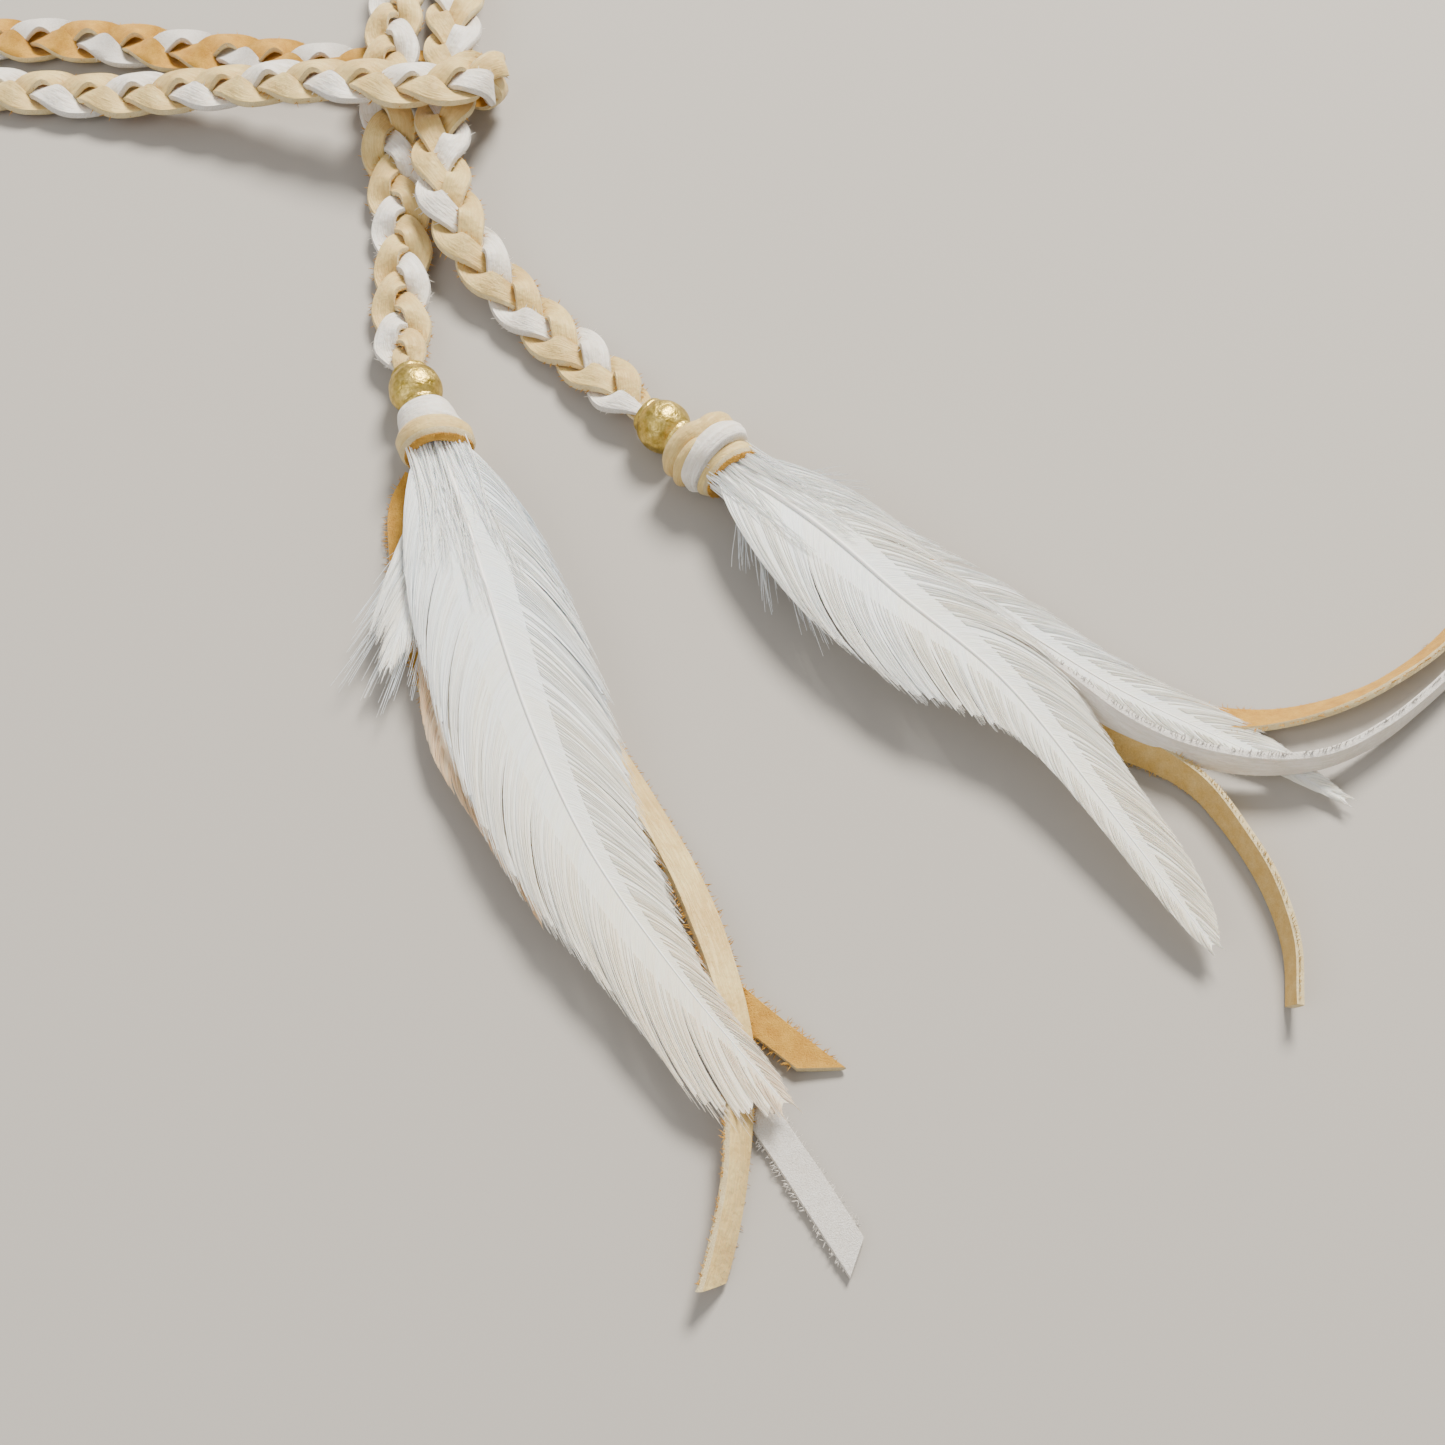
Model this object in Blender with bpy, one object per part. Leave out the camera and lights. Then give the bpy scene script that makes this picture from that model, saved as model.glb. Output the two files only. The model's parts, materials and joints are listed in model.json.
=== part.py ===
"""Braided leather headband with two beaded, feathered tails.

One long three-strand braid of flat lace is folded in half. Its fold is a slip loop round the two
braid runs where they cross, so the doubled ring can be drawn tighter. Each end of the braid passes
through a brass bead and ends in a knot that holds feathers and three free fringe laces.

Lengths are in millimetres and are scaled to metres when the meshes are made. The braid is one route,
measured by its arc length from the left bead, round the ring twice, to the right bead.
"""
import math

import bmesh
import bpy
import numpy as np
from mathutils import Vector

MM = 0.001

# Driving dimensions
LACE_WIDTH = 4.8             # deerskin lace, 3/16 inch
LACE_THICKNESS = 1.2
LACE_POINT_STEP = 1.8        # spacing of a free lace's points, in lace widths
FLAT = (90, 90)              # tilts of a lace that lies flat all the way
FLOOR_LACE = LACE_THICKNESS / 2 + 0.05
BRAID_PITCH = 26.0           # length in which one strand comes back to the same edge
RUN_SPACING = 10.8           # between the two braid runs of the ring
RING_RADIUS = 91.0           # centre line between the two runs of the ring
BEAD_RADIUS = 4.5
BEAD_BORE_RADIUS = 2.4
GAP = 0.3                    # clearance between pieces that touch on the real object

# The model's origin is the centre of the bottom of its box
ORIGIN = Vector((-75.9, 132.2, 0.0))

# Braid section: three ribbons, narrower than the free lace because a lace curls in a braid
STRAND_WIDTH = 3.2
STRAND_THICKNESS = 0.9
STRAND_EDGE_TILT = 0.25
STRAND_TURN_TILT = 0.3
FINE_STEPS = 12              # sections per pitch where the braid bends tightly
COARSE_STEPS = 6             # sections per pitch round the ring
LEVELLING = 0.5              # how firmly the braid is kept level, per millimetre of route
SWING = {FINE_STEPS: 3.0, COARSE_STEPS: 3.35}
LIFT = {FINE_STEPS: 1.5, COARSE_STEPS: 1.75}
STRANDS = {"white": 0.0, "tan_a": 1.0 / 3.0, "tan_b": 2.0 / 3.0}
BRAID_PHASE = -0.32          # share of a pitch; sets where the white strand shows on the tails

# Heights of the braid's centre line
FLOOR_RUN = 2.45
MIDDLE_RUN = 7.65
TOP_RUN = 12.95
TURN_RADIUS = (TOP_RUN - FLOOR_RUN) / 2
LOOP_HALF = 30.0             # length of the slip loop each side of its outermost point
BEAD_HEIGHT = BEAD_RADIUS
ROUND_SEGMENTS = 20

LEFT_RUN_X = -59.4
RIGHT_RUN_X = LEFT_RUN_X + RUN_SPACING
RING_CENTRE = Vector((-145.0, 228.0, 0.0))
TURN_CENTRE_X = RIGHT_RUN_X + 3.3
TURN_START_X = TURN_CENTRE_X - 2.2   # the slip loop turns over past this line,
TURN_START_Y = 118.0                 # on the ring's side of this one

# Tails: a vertical hinge where each leaves the slip loop, then the bead and the tassel on one axis
TWIST_HALF = 55.0            # half the length of the inner run that its half twist takes
TAIL_CUT = 2.4               # clearance between the loop and the start of a tail
LEFT_HINGE = Vector((-57.9, 110.6, 0.0))
RIGHT_HINGE = Vector((-48.9, 111.6, 0.0))
LEFT_BEAD = Vector((-50.4, 60.4, BEAD_HEIGHT))
LEFT_AXIS = Vector((0.34, -0.94, 0.0)).normalized()
RIGHT_BEAD = Vector((-9.6, 53.0, BEAD_HEIGHT))
RIGHT_AXIS = Vector((0.74, -0.67, 0.0)).normalized()
TAIL_PAST_BEAD = 4.2         # the tail ends this far past the bead's centre

# Tassel knots: lace turns round a core, measured from the bead's centre
KNOT_START = 4.9
KNOT_RISE = 0.6
CORE_RADIUS = 3.2
TURN_INNER_RADIUS = CORE_RADIUS + GAP
TURN_SLANT = 0.15
LEFT_CORE_END = 14.6
RIGHT_CORE_END = 15.4

LEATHER_WHITE = ("white leather", (0.86, 0.83, 0.77), 0.62, 0.0)
LEATHER_TAN = ("tan leather", (0.74, 0.55, 0.32), 0.6, 0.0)
LEATHER_OCHRE = ("ochre suede", (0.62, 0.37, 0.12), 0.95, 0.0)
BRASS = ("brass", (0.72, 0.52, 0.2), 0.3, 1.0)
FEATHER = ("feather", (0.9, 0.88, 0.84), 0.7, 0.0)
STRAND_LEATHER = {"white": LEATHER_WHITE, "tan_a": LEATHER_TAN, "tan_b": LEATHER_TAN}


# ---------------------------------------------------------------- helpers

def clear_scene():
    for old in list(bpy.data.objects):
        bpy.data.objects.remove(old, do_unlink=True)


def material(finish):
    name, colour, roughness, metallic = finish
    made = bpy.data.materials.get(name)
    if made is None:
        made = bpy.data.materials.new(name)
        made.use_nodes = True
        shader = made.node_tree.nodes["Principled BSDF"]
        shader.inputs["Base Color"].default_value = (*colour, 1.0)
        shader.inputs["Roughness"].default_value = roughness
        shader.inputs["Metallic"].default_value = metallic
        made.diffuse_color = (*colour, 1.0)
    return made


def place(point):
    """Model millimetres to scene metres, about the model's origin."""
    return (Vector(point) - ORIGIN) * MM


def add_mesh(name, points, faces, finish, pivot=None):
    """One closed mesh object whose origin is on its joint when a pivot is given."""
    base = place(pivot) if pivot is not None else Vector((0.0, 0.0, 0.0))
    mesh = bpy.data.meshes.new(name)
    mesh.from_pydata([place(point) - base for point in points], [], faces)
    work = bmesh.new()
    work.from_mesh(mesh)
    bmesh.ops.recalc_face_normals(work, faces=work.faces)
    bmesh.ops.triangulate(work, faces=work.faces)
    if work.calc_volume(signed=True) < 0:
        bmesh.ops.reverse_faces(work, faces=work.faces)
    work.to_mesh(mesh)
    work.free()
    mesh.shade_smooth()
    mesh.set_sharp_from_angle(angle=math.radians(50))
    made = bpy.data.objects.new(name, mesh)
    made.location = base
    made.data.materials.append(material(finish))
    bpy.context.scene.collection.objects.link(made)
    return made


def smooth_step(value):
    value = min(max(value, 0.0), 1.0)
    return value * value * (3.0 - 2.0 * value)


def loft(rings):
    """Points and faces of a solid through rings of equal length."""
    count = len(rings[0])
    points = [point for ring in rings for point in ring]
    faces = []
    for row in range(len(rings) - 1):
        here = row * count
        there = here + count
        for corner in range(count):
            after = (corner + 1) % count
            faces.append((here + corner, there + corner, there + after, here + after))
    last = (len(rings) - 1) * count
    faces.append(tuple(range(count)))
    faces.append(tuple(last + corner for corner in reversed(range(count))))
    return points, faces


def spline_points(knots, step):
    """Dense points on a centripetal Catmull-Rom curve through the knots."""
    knots = [Vector(knot) for knot in knots]
    first = knots[0] * 2 - knots[1]
    last = knots[-1] * 2 - knots[-2]
    padded = [first, *knots, last]
    dense = []
    for index in range(1, len(padded) - 2):
        p0, p1, p2, p3 = padded[index - 1:index + 3]
        t1 = math.sqrt((p1 - p0).length)
        t2 = t1 + math.sqrt((p2 - p1).length)
        t3 = t2 + math.sqrt((p3 - p2).length)
        count = max(2, round((p2 - p1).length / step))
        for part in range(count):
            t = t1 + (t2 - t1) * part / count
            a1 = p0 * ((t1 - t) / t1) + p1 * (t / t1)
            a2 = p1 * ((t2 - t) / (t2 - t1)) + p2 * ((t - t1) / (t2 - t1))
            a3 = p2 * ((t3 - t) / (t3 - t2)) + p3 * ((t - t2) / (t3 - t2))
            b1 = a1 * ((t2 - t) / t2) + a2 * (t / t2)
            b2 = a2 * ((t3 - t) / (t3 - t1)) + a3 * ((t - t1) / (t3 - t1))
            dense.append(b1 * ((t2 - t) / (t2 - t1)) + b2 * ((t - t1) / (t2 - t1)))
    dense.append(knots[-1])
    return dense


def level_side(point, tangent):
    """The level direction across a line; along Y where the slip loop turns over."""
    if point.x > TURN_START_X and point.y > TURN_START_Y:
        return Vector((0.0, 1.0, 0.0))
    return Vector((0.0, 0.0, 1.0)).cross(tangent)


class Route:
    """A smooth centre line with its arc length and a side direction carried along it.

    The side direction stays level wherever the line does, and is carried on through the slip loop's
    upright turn. A half twist between two arc lengths turns the other face up.
    """

    def __init__(self, knots, first_side):
        self.points = spline_points(knots, 1.0)
        self.arc = [0.0]
        for before, after in zip(self.points, self.points[1:]):
            self.arc.append(self.arc[-1] + (after - before).length)
        self.length = self.arc[-1]
        self.tangents = []
        for index in range(len(self.points)):
            after = self.points[min(index + 1, len(self.points) - 1)]
            before = self.points[max(index - 1, 0)]
            self.tangents.append((after - before).normalized())
        self.sides = []
        side = Vector(first_side)
        for point, tangent in zip(self.points, self.tangents):
            side = (side - tangent * side.dot(tangent)).normalized()
            level = level_side(point, tangent)
            if level.dot(side) < 0.0:
                level = -level
            side = (side + level * LEVELLING * level.length ** 4).normalized()
            self.sides.append(side)
        self.half_twist = None

    def where(self, arc):
        """Point, side and face directions at an arc length."""
        index = int(np.searchsorted(self.arc, arc)) - 1
        index = min(max(index, 0), len(self.arc) - 2)
        part = (arc - self.arc[index]) / (self.arc[index + 1] - self.arc[index])
        point = self.points[index].lerp(self.points[index + 1], part)
        tangent = self.tangents[index].lerp(self.tangents[index + 1], part).normalized()
        side = self.sides[index].lerp(self.sides[index + 1], part)
        side = (side - tangent * side.dot(tangent)).normalized()
        face = tangent.cross(side)
        if self.half_twist is not None:
            start, end = self.half_twist
            roll = math.pi * smooth_step((arc - start) / (end - start))
            side, face = (side * math.cos(roll) + face * math.sin(roll),
                          face * math.cos(roll) - side * math.sin(roll))
        return point, side, face

    def nearest_arc(self, target, low, high):
        """Arc length between two limits of the point nearest to a target, seen from above."""
        target = Vector(target)
        found = [(abs((point.xy - target.xy).length), arc)
                 for point, arc in zip(self.points, self.arc) if low <= arc <= high]
        return min(found)[1]


# ---------------------------------------------------------------- the braid

def ring_arc(radius, height_at):
    """Knots three quarters of the way round the ring, clockwise from its lowest point."""
    knots = []
    for step in range(13):
        turn = step / 12
        angle = -math.pi / 2 - 1.5 * math.pi * turn
        knots.append((RING_CENTRE.x + radius * math.cos(angle),
                      RING_CENTRE.y + radius * math.sin(angle), height_at(turn)))
    return knots


def twist_height(turn):
    """The inner run stands on its edge half way round, where it makes its half twist."""
    rise = max(0.0, 1.0 - abs(turn - 0.5) / 0.2)
    return FLOOR_RUN + 3.4 * smooth_step(rise)


def braid_route():
    left_tail = [
        tuple(LEFT_BEAD + LEFT_AXIS * TAIL_PAST_BEAD), tuple(LEFT_BEAD),
        tuple(LEFT_BEAD - LEFT_AXIS * 5.0), (-54.2, 77.0, 2.7), (-54.7, 88.0, FLOOR_RUN),
        (-55.7, 98.5, FLOOR_RUN), (-57.3, 107.5, 2.9),
        (-58.8, 116.5, 5.6), (LEFT_RUN_X, 125.0, 7.2)]
    left_run = [(LEFT_RUN_X, 134.0, MIDDLE_RUN), (LEFT_RUN_X, 145.0, MIDDLE_RUN - 0.6),
                (LEFT_RUN_X, 160.0, 4.4), (LEFT_RUN_X, 180.0, FLOOR_RUN + 0.2),
                (LEFT_RUN_X, 203.0, FLOOR_RUN)]
    inner_ring = ring_arc(RING_RADIUS - RUN_SPACING / 2, twist_height)
    lower_run = [(-120.0, 142.4, FLOOR_RUN), (-95.0, 139.0, FLOOR_RUN), (-77.0, 136.6, FLOOR_RUN),
                 (-62.0, 134.6, FLOOR_RUN), (-52.0, 133.4, FLOOR_RUN)]
    turn = []
    for step in range(7):
        angle = -math.pi / 2 + math.pi * step / 6
        turn.append((TURN_CENTRE_X + TURN_RADIUS * math.cos(angle), 131.6 - 9.4 * step / 6,
                     (TOP_RUN + FLOOR_RUN) / 2 + TURN_RADIUS * math.sin(angle)))
    upper_run = [(-52.0, 120.8, TOP_RUN), (-61.0, 121.6, TOP_RUN - 0.1), (-72.0, 123.6, 11.2),
                 (-85.0, 125.4, 8.2), (-98.0, 126.6, 5.4), (-112.0, 128.0, 3.2),
                 (-127.0, 130.0, FLOOR_RUN)]
    outer_ring = ring_arc(RING_RADIUS + RUN_SPACING / 2, lambda turn: FLOOR_RUN)
    right_run = [(RIGHT_RUN_X, 203.0, FLOOR_RUN), (RIGHT_RUN_X, 180.0, FLOOR_RUN + 0.2),
                 (RIGHT_RUN_X, 160.0, 4.4), (RIGHT_RUN_X, 145.0, MIDDLE_RUN - 0.6),
                 (RIGHT_RUN_X, 134.0, MIDDLE_RUN), (RIGHT_RUN_X, 125.0, MIDDLE_RUN)]
    right_tail = [(-48.9, 116.0, MIDDLE_RUN), (-48.9, 107.5, MIDDLE_RUN), (-46.6, 98.0, 7.2),
                  (-42.0, 89.5, 5.4), (-35.6, 81.4, 3.4), (-28.2, 73.4, 2.6), (-20.8, 65.6, 3.2),
                  tuple(RIGHT_BEAD - RIGHT_AXIS * 5.0), tuple(RIGHT_BEAD),
                  tuple(RIGHT_BEAD + RIGHT_AXIS * TAIL_PAST_BEAD)]
    knots = (left_tail + left_run + list(reversed(inner_ring)) + lower_run + turn + upper_run
             + outer_ring + right_run + right_tail)
    route = Route(knots, (-1.0, 0.0, 0.0))
    ring_top = route.nearest_arc(RING_CENTRE + Vector((-60.0, 60.0, 0.0)), 0.0, route.length / 2)
    route.half_twist = (ring_top - TWIST_HALF, ring_top + TWIST_HALF)
    return route


def taper(route, arc):
    """Size of the braid's section: full, and drawn in where a bead grips it."""
    from_end = min(arc, route.length - arc)
    return 0.44 + 0.56 * smooth_step((from_end - 8.0) / 9.0)


def strand_section(route, phase, arc, steps):
    """Four corners of one ribbon of the braid."""
    angle = 2 * math.pi * (arc / BRAID_PITCH + phase + BRAID_PHASE)
    size = taper(route, arc)
    across = SWING[steps] * math.sin(angle) * size
    slope = SWING[steps] * math.cos(angle) * 2 * math.pi / BRAID_PITCH
    stretch = math.hypot(1.0, slope)
    height = -LIFT[steps] * math.sin(2 * angle) * size
    tilt = (STRAND_TURN_TILT * math.cos(angle) - STRAND_EDGE_TILT * math.cos(3 * angle)) * size
    corners = []
    for edge, face in ((1, 1), (-1, 1), (-1, -1), (1, -1)):
        half = edge * STRAND_WIDTH / 2 * size
        here = min(max(arc - half * slope / stretch, 0.0), route.length)
        point, side, up = route.where(here)
        rise = height + edge * tilt + face * STRAND_THICKNESS / 2 * size
        corner = point + side * (across + half / stretch) + up * rise
        corner.z = max(corner.z, 0.0)
        corners.append(corner)
    return corners


def make_strands(route, name, start, end, steps, pivot=None):
    for strand, phase in STRANDS.items():
        pace = BRAID_PITCH / steps
        first = math.ceil((start + 0.4 * pace) / pace)
        last = math.floor((end - 0.4 * pace) / pace)
        arcs = [start, *(pace * index for index in range(first, last + 1)), end]
        rings = [strand_section(route, phase, arc, steps) for arc in arcs]
        points, faces = loft(rings)
        add_mesh(f"{name}_{strand}", points, faces, STRAND_LEATHER[strand], pivot)


def make_braid(route):
    left_joint = route.nearest_arc(LEFT_HINGE, 0.0, 200.0)
    right_joint = route.nearest_arc(RIGHT_HINGE, route.length - 200.0, route.length)
    middle = route.nearest_arc((TURN_CENTRE_X + TURN_RADIUS, 127.0, 0.0), 0.0, route.length)
    loop_start = middle - LOOP_HALF
    loop_end = middle + LOOP_HALF
    run_start = left_joint + TAIL_CUT / 2
    run_end = right_joint - TAIL_CUT / 2
    make_strands(route, "left_tail", 0.0, left_joint - TAIL_CUT / 2, FINE_STEPS, LEFT_HINGE)
    make_strands(route, "inner_run", run_start, loop_start - GAP / 2, COARSE_STEPS)
    make_strands(route, "loop", loop_start + GAP / 2, loop_end - GAP / 2, FINE_STEPS)
    make_strands(route, "outer_run", loop_end + GAP / 2, run_end, COARSE_STEPS)
    make_strands(route, "right_tail", right_joint + TAIL_CUT / 2, route.length, FINE_STEPS,
                 RIGHT_HINGE)


# ---------------------------------------------------------------- beads and knots

def lathe(centre, axis, profile, segments, slant=0.0):
    """A ring turned about a level axis from a closed profile of (along, radius) points.

    A slant leans the ring along its axis from one side to the other. Nothing goes below the floor.
    """
    across = Vector((0.0, 0.0, 1.0)).cross(axis)
    up = Vector((0.0, 0.0, 1.0))
    count = len(profile)
    points = []
    for segment in range(segments):
        angle = 2 * math.pi * (segment + 0.5) / segments
        for along, radius in profile:
            sideways = radius * math.cos(angle)
            point = (centre + axis * (along + slant * sideways) + across * sideways
                     + up * radius * math.sin(angle))
            point.z = max(point.z, 0.0)
            points.append(point)
    faces = []
    for segment in range(segments):
        here = segment * count
        there = (segment + 1) % segments * count
        for corner in range(count):
            after = (corner + 1) % count
            faces.append((here + corner, there + corner, there + after, here + after))
    return points, faces


def make_bead(name, centre, axis):
    """A round brass bead with a large bore and a short collar at each end."""
    profile = [(-3.9, BEAD_BORE_RADIUS), (-3.9, 2.9), (-3.3, 3.05)]
    for step in range(7):
        angle = math.radians(-44 + 88 * step / 6)
        profile.append((BEAD_RADIUS * math.sin(angle), BEAD_RADIUS * math.cos(angle)))
    profile += [(3.3, 3.05), (3.9, 2.9), (3.9, BEAD_BORE_RADIUS)]
    points, faces = lathe(centre, axis, profile, ROUND_SEGMENTS)
    add_mesh(name, points, faces, BRASS, centre)


def make_turn(name, bead, axis, start, width, radius, finish):
    """One turn of lace round the knot's core, with rounded edges and a flat underside."""
    centre = bead + Vector((0.0, 0.0, KNOT_RISE))
    edge = 0.7
    profile = [(start, TURN_INNER_RADIUS), (start, radius - edge), (start + edge, radius),
               (start + width - edge, radius), (start + width, radius - edge),
               (start + width, TURN_INNER_RADIUS)]
    points, faces = lathe(centre, axis, profile, ROUND_SEGMENTS, TURN_SLANT)
    add_mesh(name, points, faces, finish, bead)


def make_core(name, bead, axis, end):
    """The gathered laces inside the knot."""
    centre = bead + Vector((0.0, 0.0, KNOT_RISE))
    across = Vector((0.0, 0.0, 1.0)).cross(axis)
    rings = []
    for along in (KNOT_START, end):
        ring = []
        for corner in range(16):
            angle = 2 * math.pi * corner / 16
            ring.append(centre + axis * along + across * CORE_RADIUS * math.cos(angle)
                        + Vector((0.0, 0.0, CORE_RADIUS * math.sin(angle))))
        rings.append(ring)
    points, faces = loft(rings)
    add_mesh(name, points, faces, LEATHER_TAN, bead)


# ---------------------------------------------------------------- feathers and fringe laces

def vane_width(part):
    """Share of a vane's full width along the feather, from the bare quill to the tip."""
    if part < 0.05:
        return 0.0
    return math.sin(math.pi * ((part - 0.05) / 0.95) ** 0.72) ** 0.75


def make_feather(name, knots, left_width, right_width, pivot):
    """A thin leaf either side of a round quill, thickest along the quill."""
    quill = 0.35
    route = Route(knots, (1.0, 0.3, 0.0))
    rings = []
    sections = 16
    for section in range(sections + 1):
        part = section / sections
        point, side, up = route.where(route.length * part)
        side = Vector((side.x, side.y, 0.0)).normalized()
        up = Vector((0.0, 0.0, 1.0))
        shape = vane_width(min(part, 0.985))
        left = side * (left_width * shape + quill)
        right = side * (right_width * shape + quill)
        rings.append([point - left, point + up * quill * 0.8, point + right,
                      point - up * quill * 0.8])
    points, faces = loft(rings)
    add_mesh(name, points, faces, FEATHER, pivot)


def make_lace(name, knots, tilts, finish):
    """A free flat lace along a smooth line; tilt 90 lies flat and 0 stands on its edge."""
    dense = spline_points(knots, 1.0)
    count = max(12, round(len(dense) / (LACE_POINT_STEP * LACE_WIDTH)))
    curve = bpy.data.curves.new(name, "CURVE")
    curve.dimensions = "3D"
    curve.twist_mode = "Z_UP"
    curve.fill_mode = "FULL"
    curve.bevel_depth = LACE_THICKNESS / 2 * MM
    curve.extrude = (LACE_WIDTH - LACE_THICKNESS) / 2 * MM
    curve.bevel_resolution = 2
    curve.use_fill_caps = True
    spline = curve.splines.new("POLY")
    spline.points.add(count - 1)
    for index, point in enumerate(spline.points):
        part = index / (count - 1)
        where = dense[round(part * (len(dense) - 1))]
        point.co = (*place(where), 1.0)
        place_in_list = part * (len(tilts) - 1)
        before = min(int(place_in_list), len(tilts) - 2)
        share = place_in_list - before
        point.tilt = math.radians(tilts[before] * (1 - share) + tilts[before + 1] * share)
    made = bpy.data.objects.new(name, curve)
    curve.materials.append(material(finish))
    bpy.context.scene.collection.objects.link(made)


def make_left_tassel():
    bead, axis = LEFT_BEAD, LEFT_AXIS
    make_core("left_knot_core", bead, axis, LEFT_CORE_END)
    make_turn("left_knot_white_turn", bead, axis, 5.7, 4.1, 5.1, LEATHER_WHITE)
    make_turn("left_knot_tan_turn", bead, axis, 10.1, 4.0, 6.1, LEATHER_TAN)
    base = bead + axis * (LEFT_CORE_END + GAP)
    start = Vector((base.x, base.y, 0.0))
    make_feather("left_main_feather", [
        start + Vector((0.0, 0.0, 7.6)), (-41.2, 35.3, 7.9), (-37.1, 21.8, 7.9),
        (-28.9, -3.5, 7.2), (-19.6, -24.5, 6.6), (-6.4, -44.5, 5.9), (8.9, -63.6, 4.4)],
        11.5, 11.5, bead)
    make_feather("left_side_feather", [
        start + Vector((0.0, 0.0, 6.6)), (-37.5, 32.0, 6.7), (-28.5, 14.0, 6.2),
        (-20.5, 0.0, 5.8), (-16.2, -8.0, 5.2)], 9.0, 7.5, bead)
    make_feather("left_downy_feather", [
        start + Vector((0.0, 0.0, 5.7)), (-46.3, 34.0, 5.8), (-48.6, 19.0, 5.6),
        (-51.0, 6.0, 5.3)], 10.0, 9.0, bead)
    make_feather("left_under_feather", [
        start + Vector((0.0, 0.0, 4.8)), (-46.4, 34.3, 4.8), (-44.5, 19.3, 4.7),
        (-41.4, -5.6, 4.2), (-32.7, -20.8, 3.9), (-25.4, -35.3, 3.6)], 3.0, 8.0, bead)
    make_lace("left_fringe_tan", [
        base + Vector((0.2, 0.0, -0.8)), (-40.9, 36.5, 2.9), (-34.5, 22.0, 2.4),
        (-26.6, 8.0, 2.2), (-18.5, -4.2, 2.2), (-12.3, -14.5, 2.2), (-6.2, -26.1, 2.9),
        (-1.8, -37.4, 3.8), (1.2, -48.2, 4.0), (2.4, -56.0, 3.2), (2.3, -65.0, 3.0),
        (1.6, -74.0, 2.6), (-0.1, -83.0, 2.4), (-1.9, -89.8, 2.4)],
        (90, 90, 90, 75, 70, 78, 73, 45, 35), LEATHER_TAN)
    make_lace("left_fringe_white", [
        base + Vector((-0.2, 0.0, -2.3)), (-41.7, 35.0, 1.1), (-35.8, 20.0, FLOOR_LACE),
        (-28.2, 4.0, FLOOR_LACE), (-20.5, -14.0, FLOOR_LACE), (-11.5, -33.0, FLOOR_LACE),
        (-5.0, -47.0, FLOOR_LACE), (3.1, -59.9, FLOOR_LACE), (10.6, -71.5, FLOOR_LACE),
        (19.1, -85.4, FLOOR_LACE)], FLAT, LEATHER_WHITE)
    make_lace("left_fringe_ochre", [
        base + Vector((-3.8, -2.3, -1.9)), (-51.2, 39.5, 1.2), (-50.9, 32.0, FLOOR_LACE),
        (-49.0, 21.0, FLOOR_LACE), (-45.5, 9.0, FLOOR_LACE), (-40.6, -4.3, FLOOR_LACE),
        (-34.7, -15.0, FLOOR_LACE), (-27.5, -24.5, 1.2), (-18.0, -32.5, 2.3),
        (-8.0, -39.5, 2.2), (0.0, -45.5, 2.1),
        (6.0, -50.4, 1.4), (15.8, -58.4, FLOOR_LACE)], FLAT, LEATHER_OCHRE)


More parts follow.
